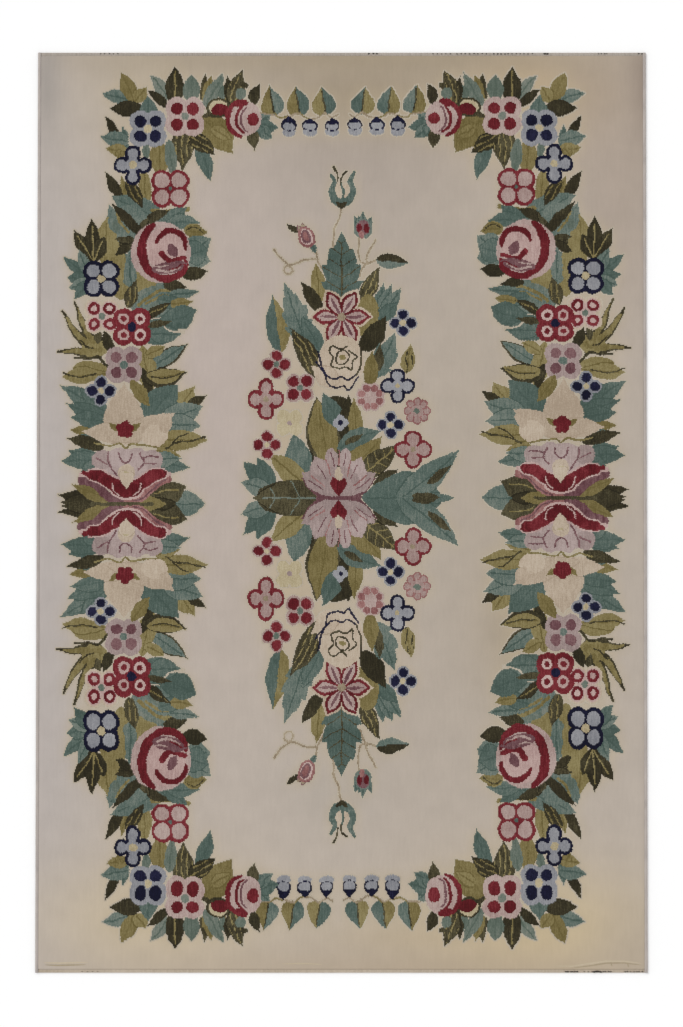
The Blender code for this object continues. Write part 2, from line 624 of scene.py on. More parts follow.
# The garland's far left quarter, from the back to the front. A Leaf is given by its yarn, foot
# column and row, tip column and row, and width; a Tuft by yarn, foot, width and tips; a Spot by
# yarn, place and half sizes; an Arc by yarn, place, half sizes, band and angles; a Line by yarn,
# width and points; a Blossom by place, reach, petal, outline, fill and rim.
GARLAND: tuple[Motif, ...] = (
    # Leaves of the corner, from the left side round to the rose of the far end.
    Leaf(TEAL, 130, 101, 101.5, 94, 14, 1),
    Leaf(OLIVE, 136, 104, 121.5, 73, 16, widest=0.5),
    Leaf(OLIVE, 136, 102, 146.5, 87, 14),
    Leaf(INK, 143, 109, 109.5, 109, 17, widest=0.45),
    Leaf(INK, 119, 139, 105, 116, 9),
    Leaf(TEAL, 127, 152, 123, 126, 8, widest=0.5),
    Leaf(TEAL, 129, 142, 100, 137, 16),
    Leaf(OLIVE, 128, 152, 106, 149, 14),
    Leaf(OLIVE, 122, 150, 117, 159, 8),
    Leaf(MIST, 168, 99, 149.5, 75, 13, 1.5),
    Leaf(INK, 168, 108, 147, 90, 10, 1),
    Leaf(TEAL, 149.5, 126, 147.5, 95, 19),
    Leaf(INK, 175, 106, 175, 66, 19, vein=OLIVE),
    Leaf(MIST, 191, 108, 192, 74.5, 17, widest=0.55),
    Leaf(INK, 201.5, 99, 204, 73, 9, 2.5),
    Leaf(OLIVE, 206, 104, 212, 75, 12),
    Leaf(OLIVE, 222, 102, 227, 82, 9),
    Leaf(MIST, 205, 107, 224, 73, 14),
    Leaf(MIST, 222, 102, 224, 84, 7),
    Leaf(INK, 230, 106, 227, 76, 9, widest=0.5),
    Leaf(INK, 233, 106, 242.5, 70, 17, -1.5, streak=OLIVE),
    Spot(INK, 244.5, 86, 4, 2.8),
    Spot(MIST, 240.5, 94, 5.5, 5.5),
    Leaf(INK, 253.5, 105, 260, 84, 11, -2),
    # The bud and the rose seen from its side.
    Leaf(OLIVE, 200, 117, 232, 154, 29, -3, widest=0.5),
    Leaf(OLIVE, 212, 128, 231, 139, 12),
    Leaf(INK, 213, 112, 201, 119, 5),
    Spot(INK, 218, 108.5, 12, 10, -10),
    Spot(STRAW, 218, 107.5, 9.5, 7, -10),
    Spot(CRIMSON, 220, 110, 9, 6, -8),
    Tuft(TEAL, 254, 126, 13, ((270, 115), (279, 128), (273, 139), (262, 138))),
    Leaf(INK, 252, 128, 254.5, 150, 12),
    Spot(PINK, 245, 119, 16.5, 17.5),
    Arc(CRIMSON, 246, 119, 18.5, 18.5, 5, 100, 275),
    Spot(CRIMSON, 242, 104, 7, 3.4, -22),
    Arc(CRIMSON, 248, 120, 11.5, 14, 3.2, 105, 245),
    Arc(MAUVE, 250, 120, 9, 13, 2.2, 100, 250),
    Spot(CRIMSON, 253, 119.5, 6, 6.3),
    # Leaves under the corner's flowers.
    Leaf(INK, 184, 128, 183, 172, 23, widest=0.35, streak=OLIVE),
    Leaf(TEAL, 197, 148, 210.5, 182, 15, -2.5),
    Leaf(INK, 190, 135, 216, 155, 17, streak=OLIVE),
    Leaf(OLIVE, 159, 140, 160, 178, 20, widest=0.5),
    Leaf(MIST, 169, 140, 173, 178, 12),
    Leaf(MIST, 146, 143, 147, 162, 8),
    Leaf(OLIVE, 128, 202, 121, 176, 9),
    Leaf(INK, 122, 200, 105.5, 172, 11),
    Leaf(OLIVE, 144, 170, 146, 210, 14, widest=0.5),
    Leaf(TEAL, 170, 224, 110, 196, 26, widest=0.5),
    Leaf(TEAL, 124, 246, 109, 204, 17, widest=0.5),
    Spot(TEAL, 129, 224, 18, 19),
    Leaf(INK, 126, 182, 144, 209, 13, -1, streak=OLIVE),
    Line(OLIVE, 5, ((153, 211), (170, 212), (188, 209))),
    Leaf(INK, 144, 226, 172, 211, 11, -3),
    Leaf(INK, 138, 240, 150, 216, 8, -2),
    Leaf(TEAL, 165, 224, 187.5, 207, 15),
    Leaf(TEAL, 166, 224, 201, 224, 15, -2),
    # The leaf mass between the rose and the flowers below it.
    Spot(TEAL, 155, 298, 28, 20),
    Spot(TEAL, 158, 332, 20, 13),
    Spot(OLIVE, 140, 281, 17, 11),
    Spot(OLIVE, 121, 287, 7, 13),
    Spot(MIST, 128, 270, 7, 16),
    Line(MIST, 4, ((136, 298), (147, 290), (160, 287))),
    Line(OLIVE, 3.4, ((139, 305), (152, 295), (166, 290), (180, 292))),
    Line(MIST, 3, ((150, 308), (164, 299), (180, 298))),
    Line(OLIVE, 2.4, ((146, 304), (160, 297), (172, 296))),
    # Leaves round the big rose.
    Spot(OLIVE, 193, 231, 9, 7.5),
    Leaf(OLIVE, 186, 231, 208, 233, 12),
    Line(INK, 1.2, ((186, 230), (193, 227), (199, 229), (203, 233))),
    Tuft(TEAL, 184, 256, 24, ((211, 238), (210.5, 261), (208, 250))),
    Leaf(INK, 182, 275, 208, 272, 14),
    Leaf(INK, 163, 284, 188, 288, 11),
    Leaf(TEAL, 168, 294, 200, 291.5, 10, 1),
    Leaf(TEAL, 158, 299, 186, 306, 12),
    Leaf(OLIVE, 170, 304, 193, 301, 11, 1),
    Leaf(TEAL, 156, 322, 197, 310, 24, 3, widest=0.6),
    Leaf(TEAL, 150, 334, 182, 334, 18),
    Line(HALO, 1.7, ((162, 323), (169, 330), (183, 333))),
    Leaf(INK, 146, 320, 172, 303, 10, -2, streak=OLIVE),
    Leaf(INK, 146, 326, 172, 322, 7),
    Leaf(INK, 152, 368, 188, 344, 17),
    Leaf(TEAL, 152, 367, 186, 345, 14),
    # The left column of leaves.
    Leaf(OLIVE, 104, 264, 108, 216, 22, widest=0.5),
    Spot(OLIVE, 113, 265, 13, 26),
    Spot(TEAL, 118, 221, 9.5, 13),
    Spot(MIST, 116.5, 226, 4, 6),
    Line(OLIVE, 2.6, ((117, 214), (121, 224), (129, 233))),
    Leaf(INK, 143, 238, 111, 203, 11, 1, widest=0.45),
    Tuft(INK, 94, 262, 15, ((74, 230), (92, 218), (105, 236)), OLIVE),
    Spot(INK, 127, 243, 8, 7),
    Leaf(INK, 134, 240, 114, 239, 7),
    Leaf(INK, 131, 246, 115, 255, 9),
    Leaf(TEAL, 130, 250, 131, 294, 12, widest=0.5),
    Leaf(INK, 128, 308, 136, 280, 14, streak=OLIVE),
    Tuft(TEAL, 92, 280, 12, ((63, 257), (78, 250), (66, 277), (69, 289), (74, 299))),
    Line(INK, 13, ((98, 352), (84, 352.5), (72, 351), (58, 352.5)), 1.6),
    Line(INK, 13, ((98, 352), (86, 343), (75, 332), (69, 322), (63, 311.5)), 1.6),
    Line(INK, 11.5, ((100, 350), (88, 334), (82, 322), (79, 313), (74.5, 302)), 1.6),
    Spot(OLIVE, 95, 347, 13, 11),
    Line(OLIVE, 8, ((98, 352), (84, 351.5), (73, 351), (64, 352)), 2),
    Line(OLIVE, 8, ((98, 352), (86, 343), (75.5, 332), (70, 323), (67, 318)), 2),
    Line(OLIVE, 6.4, ((100, 350), (88, 334), (82.5, 322), (80.5, 315), (77.5, 308)), 1.5),
    Leaf(INK, 99, 332, 97, 345, 8),
    Line(INK, 1.4, ((80, 340), (87, 347), (94, 349))),
    Spot(OLIVE, 90, 369, 17, 8),
    Leaf(OLIVE, 108, 374, 62, 377, 17, widest=0.6),
    Line(INK, 2.2, ((75, 358), (87, 358.5), (98, 357), (107, 366)), 3),
    Line(INK, 1.4, ((63, 373), (72, 376), (84, 376.5), (97, 374))),
    Leaf(INK, 112, 352, 103, 330, 11),
    Leaf(OLIVE, 142, 346, 152, 396, 20, widest=0.5),
    Leaf(INK, 142, 368, 154, 402, 9),
    Leaf(INK, 144, 378, 188, 372, 20, 3),
    Leaf(OLIVE, 147, 376, 186, 371, 15, 3),
    Line(INK, 1.4, ((152, 377), (166, 378), (180, 374))),
    Leaf(OLIVE, 146, 356, 166, 346, 12),
    # The big rose.
    Spot(PINK, 161, 252.5, 30, 30.5),
    Spot(BLUSH, 166, 249, 20, 22),
    Arc(CRIMSON, 163, 250, 21, 27, 9.4, 98, 250),
    Arc(CRIMSON, 167, 262, 19, 17, 7, -5, 165),
    Spot(MAUVE, 168, 268, 16, 6, -8),
    Line(PINK, 2.2, ((157, 270), (168, 272), (180, 267))),
    Line(PINK, 1.3, ((153, 266), (160, 267), (168, 265))),
    Line(CRIMSON, 1.5, ((170, 270), (178, 267), (185, 262))),
    Arc(CRIMSON, 171, 247, 15, 16, 6, 188, 372),
    Line(CRIMSON, 6, ((162, 254), (170, 261), (185, 258)), 4),
    Line(MAUVE, 2, ((166, 264), (176, 262), (186, 264))),
    Leaf(MAUVE, 169, 244, 177, 258, 10, widest=0.5),
    # Small flowers, from the corner down the side.
    Blossom(185, 117, 11.3, 11.5, PINK, PINK, 0, CRIMSON, 6.1, 11.3, eye=MIST, eye_size=4),
    Blossom(148, 129, 10.6, 10.8, PALE_BLUE, PALE_BLUE, 0, NAVY, 6, 10.6, eye=STRAW, eye_size=4),
    Blossom(133, 165.5, 11, 8, NAVY, PALE_BLUE, 2.9, turn=0, squash=1.06),
    Line(PALE_BLUE, 7.4, ((133, 155), (133, 176))),
    Line(PALE_BLUE, 7.4, ((123, 165.5), (143, 165.5))),
    Spot(STRAW, 133, 165.5, 4),
    Blossom(170.5, 189, 11.3, 11, CRIMSON, CRIMSON, 0, PINK, 7.4, 11.8, eye=TEAL, eye_size=2),
    Blossom(101.5, 279, 10.8, 10.6, NAVY, NAVY, 0, PALE_BLUE, 6.6, 11.2, eye=STRAW, eye_size=4),
    Blossom(102, 316.5, 11, 9.4, CREAM, BLUSH, 2, CRIMSON, 6.1, 11, BLUSH, 2.9, MIST, 3.4),
    Blossom(132, 327, 11.3, 11, CRIMSON, CRIMSON, 0, BLUSH, 5.6, 11.5, CRIMSON, 3, NAVY, 4.5),
    Blossom(124, 365, 10.6, 10.8, LILAC, LILAC, 0, MAUVE, 5.5, 10.6, eye=TEAL, eye_size=4),
    # Leaves round the lily and the flower below it.
    Leaf(TEAL, 108, 418, 60, 385, 21, 2),
    Leaf(TEAL, 108, 416, 80, 388, 14),
    Leaf(TEAL, 108, 420, 66, 404, 17),
    Leaf(TEAL, 106, 422, 70, 417, 16),
    Leaf(OLIVE, 96, 432, 69, 430, 10),
    Leaf(TEAL, 100, 440, 78, 436, 9),
    Leaf(TEAL, 100, 460, 68, 451, 16),
    Leaf(INK, 104, 448, 66, 438, 13, 1),
    Leaf(TEAL, 100, 460, 61, 461, 18),
    Leaf(TEAL, 100, 464, 80, 475, 15),
    Leaf(OLIVE, 174, 416, 195, 386, 22),
    Leaf(TEAL, 142, 430, 179, 384, 33, -2, widest=0.5),
    Leaf(INK, 186, 408, 206, 395, 10),
    Leaf(TEAL, 162, 422, 204, 406, 24),
    Leaf(TEAL, 162, 424, 202, 426, 22),
    Leaf(OLIVE, 152, 440, 208, 440, 21, widest=0.5),
    Leaf(OLIVE, 156, 450, 182, 456, 9),
    Line(INK, 1.8, ((166, 449), (176, 443), (190, 441), (205, 437))),
    Line(INK, 1.5, ((173, 443), (181, 436), (188, 433))),
    Leaf(TEAL, 150, 462, 190, 468, 17),
    Leaf(TEAL, 150, 460, 182, 458, 15),
    Leaf(OLIVE, 131, 380, 150, 407, 14, widest=0.5),
    Blossom(
        101, 391, 8.6, 6.8, PALE_BLUE, PALE_BLUE, 0, NAVY, 4.9, 8.6, eye=STRAW, eye_size=3, turn=0
    ),
    # The lily.
    Leaf(CREAM, 124, 440, 124, 383, 41, widest=0.36),
    Spot(CREAM, 124, 434, 24, 11),
    Leaf(CREAM, 138, 434, 82, 432, 20, widest=0.5),
    Leaf(CREAM, 108, 439, 175, 413, 22, 4, widest=0.55),
    Spot(CREAM, 155, 436, 13, 11, -10),
    Spot(CREAM, 166, 424, 6, 9, 20),
    Line(
        OLIVE, 1.9, ((95, 443), (108, 446), (120, 443), (126, 448), (132, 444), (146, 446), (164, 448))
    ),
    Leaf(OLIVE, 119, 431, 109, 423, 6),
    Leaf(OLIVE, 130, 431, 141, 423, 6),
    Blossom(125, 429.5, 5, 4.4, CRIMSON, CRIMSON, petals=5, turn=-90),
    # The fan flower, its two swept petals, and the leaves on the cross row.
    Leaf(INK, 150, 504, 57, 495, 18, widest=0.6),
    Leaf(INK, 136, 505, 66, 506, 20, widest=0.6),
    Leaf(INK, 140, 504, 60, 502, 20, widest=0.55),
    Leaf(OLIVE, 112, 501, 72, 484, 15),
    Leaf(TEAL, 166, 504, 206, 504, 26, widest=0.5),
    Leaf(INK, 140, 503, 187, 487, 24, widest=0.6),
    Leaf(INK, 150, 503, 184, 511, 15),
    Leaf(OLIVE, 136, 502, 176, 509, 15, widest=0.35),
    Line(OLIVE, 1.4, ((154, 494), (166, 490), (178, 490))),
    Spot(LILAC, 128, 464, 34, 15),
    Spot(LILAC, 102, 460, 10),
    Spot(LILAC, 119, 457, 9.5),
    Spot(LILAC, 137, 457, 9.5),
    Spot(LILAC, 153, 460, 10),
    Line(MAUVE, 1.7, ((108, 453), (109, 463), (117, 476))),
    Line(MAUVE, 1.5, ((97, 458), (107, 464))),
    Line(MAUVE, 1.6, ((119, 453), (121, 460), (126, 463), (131, 459), (132, 453))),
    Line(MAUVE, 1.7, ((140, 453), (144, 462), (138, 470))),
    Line(MAUVE, 1.5, ((143, 458), (150, 456), (158, 457))),
    Line(MAUVE, 1.4, ((144, 463), (156, 464))),
    Line(MAUVE, 9, ((82, 480), (96, 485), (110, 498), (127, 503)), 8),
    Line(ROSE, 8.5, ((168, 479), (156, 484), (143, 496), (127, 503)), 8),
    Line(MAUVE, 1.6, ((166, 480), (156, 486), (145, 497), (134, 501))),
    Line(BLUSH, 5, ((81, 475), (93, 475.5)), 13),
    Line(BLUSH, 5, ((169, 474), (160, 474.5)), 13),
    Line(BLUSH, 13.5, ((92, 475), (102, 477), (114, 485), (126, 490)), 17),
    Line(BLUSH, 13.5, ((161, 474), (152, 476), (140, 484.5), (128, 490)), 17),
    Spot(BLUSH, 127, 490.5, 17, 9.5),
    Line(CRIMSON, 5, ((84, 473), (93, 475)), 10),
    Line(CRIMSON, 5, ((164, 472.5), (160, 474)), 10),
    Line(CRIMSON, 10.5, ((92, 475), (102, 477), (114, 485), (126, 490)), 14),
    Line(CRIMSON, 10.5, ((161, 474), (152, 476), (140, 484.5), (128, 490)), 14),
    Spot(CRIMSON, 127, 490, 15, 7.6),
    Line(BLUSH, 1.3, ((112, 483), (113.5, 490), (119, 495))),
    Line(BLUSH, 1.3, ((141, 482), (140, 490), (134, 495))),
    Spot(CREAM, 126.5, 473, 8.6, 9),
    Leaf(CREAM, 126.5, 470, 127, 489, 15, widest=0.35),
    Line(INK, 3.6, ((92, 504), (152, 504))),
    Line(STRAW, 1.5, ((124, 472), (128, 472))),
)

# Leaves and bells along the far end, from the corner's rose to the middle column.
FRIEZE: tuple[Motif, ...] = (
    Leaf(OLIVE, 274, 115, 269.5, 85, 23, widest=0.3, half=TEAL, vein=INK),
    Leaf(OLIVE, 299.5, 115, 295.5, 86, 23, widest=0.3, half=TEAL, vein=INK),
    Leaf(OLIVE, 325.5, 115, 321.5, 87, 24, widest=0.3, half=TEAL, vein=INK),
    Line(
        FAWN, 1.5, ((261, 113), (273, 115), (285, 118), (298, 114), (303, 117), (315, 119), (325, 113))
    ),
    Line(FAWN, 1.4, ((325, 113), (332, 118), (338, 115))),
    Line(OLIVE, 1.4, ((274, 113), (280, 118), (288, 116))),
    Line(OLIVE, 1.4, ((300, 113), (304, 117), (309, 119))),
    Spot(PALE_BLUE, 289, 132.5, 7, 5),
    Spot(PALE_BLUE, 310, 132, 7, 4.6),
    Spot(PALE_BLUE, 332, 132, 7, 4.6),
    Spot(NAVY, 289, 126, 7.6, 6.2),
    Spot(NAVY, 310, 126, 7.8, 5.8),
    Spot(NAVY, 332, 126, 7.2, 5.6),
    Leaf(NAVY, 289, 128, 289, 116, 13, widest=0.4),
    Leaf(NAVY, 310, 128, 310, 118, 13, widest=0.4),
    Leaf(NAVY, 332, 128, 332, 118, 13, widest=0.4),
    Spot(PALE_BLUE, 289, 126.8, 6, 4),
    Spot(PALE_BLUE, 310, 126.5, 6.2, 3.7),
    Spot(PALE_BLUE, 332, 126.5, 5.8, 3.6),
    Line(NAVY, 2.2, ((284, 121.5), (289, 119.5), (294, 121.5))),
    Line(NAVY, 1.6, ((305, 122.5), (310, 123.5), (315, 122.5))),
    Line(NAVY, 1.6, ((327.5, 122.5), (332, 123.5), (336.5, 122.5))),
    *(
        Spot(PALE_BLUE, column + side, row, 1.4, 1.2)
        for column, row in ((289, 131.5), (310, 131), (332, 131))
        for side in (-3, 3)
    ),
)

# The middle spray's far half, drawn as the garland is.
SPRAY: tuple[Motif, ...] = (
    # Stems, tendrils, the tulip at the tip and the two rosebuds.
    Line(FAWN, 1.9, ((341, 206), (339, 220), (334, 232), (334, 252))),
    Line(FAWN, 1.8, ((309, 246), (316, 252), (318, 262), (324, 272))),
    Line(FAWN, 1.7, ((318, 260), (305, 260), (292, 265), (283, 260), (274, 250))),
    Arc(FAWN, 288.5, 270, 4.2, 4.4, 1.6, 0, 360),
    Line(FAWN, 1.8, ((359, 237), (358.5, 254), (361, 262), (368, 264))),
    Line(FAWN, 1.8, ((376, 240), (371, 249), (367, 256), (368, 263), (379, 259))),
    Line(FAWN, 1.8, ((366, 264), (362, 270), (360, 276))),
    Spot(CREAM, 338, 192, 3, 10),
    Spot(CREAM, 346, 192, 3, 9),
    Line(TEAL, 9, ((341, 204), (335, 200), (332, 191), (334.5, 183), (331, 176)), 3),
    Line(TEAL, 9, ((342, 204), (350, 199), (353, 190), (350, 182), (354, 173)), 3),
    Line(TEAL, 2.6, ((341, 204), (343, 192), (341, 181)), 1.8),
    Line(INK, 2.4, ((333.5, 167), (336.5, 172), (338, 181)), 1.5),
    Line(INK, 2, ((346.5, 172), (342, 177), (341, 185)), 1.4),
    Leaf(INK, 336, 202, 343, 209, 4),
    Leaf(INK, 347, 202, 340, 209, 4),
    Spot(INK, 341.5, 206, 3.4, 2.8),
    Leaf(INK, 299, 233, 286, 224, 6),
    Tuft(FAWN, 306, 238, 6, ((297, 225), (302, 222), (309, 226)), None, MAUVE, 0.8),
    Leaf(TEAL, 316, 252, 309, 243, 6),
    Spot(ROSE, 306.5, 237, 8.4, 11, -24),
    Spot(BLUSH, 306.5, 237, 6.2, 8.6, -24),
    Spot(MAUVE, 306, 237, 4.9, 7.6, -24),
    Spot(ROSE, 306, 237, 2.6, 5.4, -24),
    Tuft(TEAL, 363, 236, 8, ((354, 216), (358, 215), (363, 210), (372, 216))),
    Spot(TEAL, 363, 229, 9, 9.6),
    Spot(MAUVE, 363, 227.5, 6.6, 7),
    Spot(CRIMSON, 359.5, 228.5, 2.6, 4.6),
    Spot(CRIMSON, 366.5, 228.5, 2.4, 4.6),
    Spot(ROSE, 361.5, 235, 2.4, 4),
    Leaf(INK, 376, 260, 410, 263, 15, half=TEAL, vein=INK),
    # Leaves of the upper part.
    Leaf(OLIVE, 320, 302, 316, 263, 15),
    Leaf(INK, 322, 312, 301, 282, 14),
    Leaf(INK, 361, 304, 380, 266, 16, streak=OLIVE),
    Leaf(TEAL, 342, 314, 341.5, 232, 41, widest=0.46, teeth=5, vein=INK, ribs=7),
    Leaf(TEAL, 281, 352, 273, 295, 23, half=OLIVE),
    Leaf(TEAL, 308, 350, 284, 282, 28, teeth=5),
    Leaf(TEAL, 322, 354, 302, 317, 18),
    Leaf(INK, 319, 378, 290, 328, 21, 2, streak=OLIVE),
    Leaf(OLIVE, 359, 336, 382, 295, 21),
    Tuft(TEAL, 378, 322, 14, ((383, 283), (392, 284), (401, 288), (398, 303))),
    Spot(OLIVE, 368, 315, 11, 20),
    Leaf(INK, 361, 350, 386, 316, 21, 2),
    Leaf(TEAL, 371, 378, 395, 333, 27, 2, teeth=3),
    Leaf(INK, 378, 371, 380, 344, 10),
    Leaf(OLIVE, 370, 386, 372, 350, 15),
    Leaf(OLIVE, 406, 373, 411, 344, 14, streak=INK),
    Spot(INK, 336, 440, 27, 44),
    Spot(OLIVE, 362, 456, 20, 18),
    Leaf(INK, 328, 464, 316, 396, 34),
    Leaf(OLIVE, 329, 468, 317, 398, 29, widest=0.5),
    Leaf(TEAL, 340, 427, 322, 392, 19),
    Leaf(INK, 350, 444, 348, 395, 21),
    Leaf(OLIVE, 357, 444, 354, 398, 15),
    Leaf(TEAL, 338, 450, 382, 431, 20, -3),
    Leaf(INK, 344, 444, 364, 434, 7),
    Leaf(OLIVE, 346, 470, 382, 436, 24, 3),
    Leaf(INK, 361, 476, 399, 445, 23, vein=OLIVE, ribs=5),
    Leaf(INK, 374, 486, 398, 469, 12),
    Leaf(TEAL, 304, 488, 294, 434, 26, widest=0.55),
    Spot(TEAL, 297.5, 452, 10, 14, -10),
    Leaf(OLIVE, 306, 486, 269, 453, 22),
    Tuft(TEAL, 274, 492, 17, ((243, 461), (257, 457), (241, 482))),
    Leaf(TEAL, 362, 498, 446, 498, 54, widest=0.55),
    Leaf(TEAL, 398, 500, 460, 449, 26, 2),
    Leaf(TEAL, 424, 498, 457, 499, 10),
    Leaf(INK, 428, 484, 452, 464, 8),
    Leaf(INK, 412, 496, 441, 498, 9),
    Spot(INK, 286, 498, 29, 17),
    Leaf(INK, 326, 498, 252, 498, 36, widest=0.45, vein=MIST, ribs=3),
    # The star flower and the wavy cream rose.
    Leaf(TEAL, 341.5, 345, 341.5, 328, 14),
    Star(341.5, 317, 32, 19, CREAM, CREAM, 0.0),
    Star(341.5, 317, 29.5, 15, CRIMSON, PINK, 2.7),
    Star(341.5, 317, 23.5, 3, MAUVE, MAUVE, 0.0),
    Spot(FAWN, 341.5, 317, 4, 4),
    Spot(CREAM, 341, 362, 23, 27),
    Leaf(CREAM, 338, 386, 311, 366, 20),
    Line(
        NAVY, 1.8, ((318, 352), (321, 364), (327, 375), (335, 379), (342, 377), (348, 380), (356, 375))
    ),
    Line(INK, 1.8, ((356, 375), (361, 364), (361, 352), (362, 340))),
    Line(
        NAVY, 1.8, ((316, 362), (325, 374), (328, 384), (337, 388), (344, 386), (349, 390), (358, 377))
    ),
    Line(
        INK, 1.7, ((347, 346), (341, 350), (332, 346), (329, 352), (334, 357), (331, 366), (339, 369))
    ),
    Line(INK, 1.7, ((339, 369), (346, 367), (352, 370), (353, 361), (357, 357), (349, 351))),
    Line(
        INK, 1.7, ((336, 360), (338, 353), (345, 351), (349, 357), (345, 363), (338, 364), (336, 360))
    ),
    Spot(OLIVE, 342.5, 357.5, 3, 2.6),
    # Small flowers.
    Blossom(403, 323, 8, 6.3, PALE_BLUE, PALE_BLUE, 0, NAVY, 4.7, 8, eye=STRAW, eye_size=3, turn=0),
    Blossom(276.5, 364.5, 8.5, 6.5, PINK, PINK, 0, CRIMSON, 5, 8.5, eye=MIST, eye_size=3, turn=0),
    Blossom(266, 399.5, 10.4, 8.2, CRIMSON, PINK, 2.9, eye=FAWN, eye_size=2.6, turn=0, squash=1.13),
    Blossom(300, 388, 9.2, 7.5, PINK, PINK, 0, CRIMSON, 5.4, 9.2, eye=MIST, eye_size=3),
    Blossom(289.5, 423, 8.6, 6.6, STRAW, STRAW, eye=LILAC, eye_size=2.6),
    Blossom(267, 445, 8.5, 6.2, PINK, PINK, 0, CRIMSON, 5, 8.5, eye=STRAW, eye_size=2.5, turn=0),
    Blossom(370.5, 397.5, 9.4, 5.4, PINK, PINK, 0, ROSE, 3.5, 9.6, petals=8, turn=22),
    Blossom(397.5, 386, 9.8, 7.8, NAVY, PALE_BLUE, 2.6, eye=STRAW, eye_size=2.2, turn=0),
    Blossom(417, 411, 9.4, 4.4, ROSE, PINK, 1.5, eye=MIST, eye_size=3, petals=8),
    Blossom(
        390.5, 425, 8, 6.3, PALE_BLUE, PALE_BLUE, 0, NAVY, 4.6, 8, eye=STRAW, eye_size=3, turn=0
    ),
    Blossom(413, 449.5, 10, 8.8, CRIMSON, PINK, 2.8, eye=FAWN, eye_size=2.6, turn=0),
    Blossom(340.5, 423, 4, 4, PALE_BLUE, PALE_BLUE, eye=NAVY, eye_size=2.4, turn=0),
    # The lotus on the cross row.
    Leaf(MAUVE, 336, 499, 300, 477, 15),
    Leaf(MAUVE, 342, 499, 377, 477, 15),
    Leaf(LILAC, 340, 497, 301, 472, 19, widest=0.55),
    Leaf(LILAC, 338, 497, 376, 472, 19, widest=0.55),
    Leaf(LILAC, 336, 500, 314, 456, 25, widest=0.6),
    Leaf(LILAC, 342, 500, 362, 457, 25, widest=0.6),
    Spot(LILAC, 319, 467, 6.5, 8, -20),
    Spot(LILAC, 357, 467, 6.5, 8, 20),
    Spot(LILAC, 332, 459, 6, 11, -8),
    Spot(LILAC, 345, 459, 6, 11, 8),
    Spot(LILAC, 338.5, 482, 22, 15),
    Line(ROSE, 1.3, ((339, 450), (339, 466))),
    Line(ROSE, 1.2, ((326, 460), (331, 476))),
    Line(ROSE, 1.2, ((351, 460), (347, 476))),
    Line(ROSE, 1.2, ((311, 476), (324, 486))),
    Line(ROSE, 1.2, ((366, 476), (354, 486))),
    Line(MAUVE, 1.1, ((331, 452), (334, 466))),
    Line(MAUVE, 1.1, ((346, 453), (344, 466))),
    Line(MAUVE, 1.1, ((318, 465), (326, 479))),
    Line(MAUVE, 1.1, ((357, 465), (350, 479))),
    Line(MAUVE, 1.1, ((308, 479), (323, 490))),
    Line(MAUVE, 1.1, ((370, 479), (355, 490))),
    Spot(CREAM, 338.5, 474, 3.6, 7),
    Leaf(CRIMSON, 338.5, 497, 333, 477, 8.6, widest=0.66),
    Leaf(CRIMSON, 338.5, 497, 344.5, 477, 8.6, widest=0.66),
    Line(MAUVE, 4, ((318, 498), (360, 498))),
)


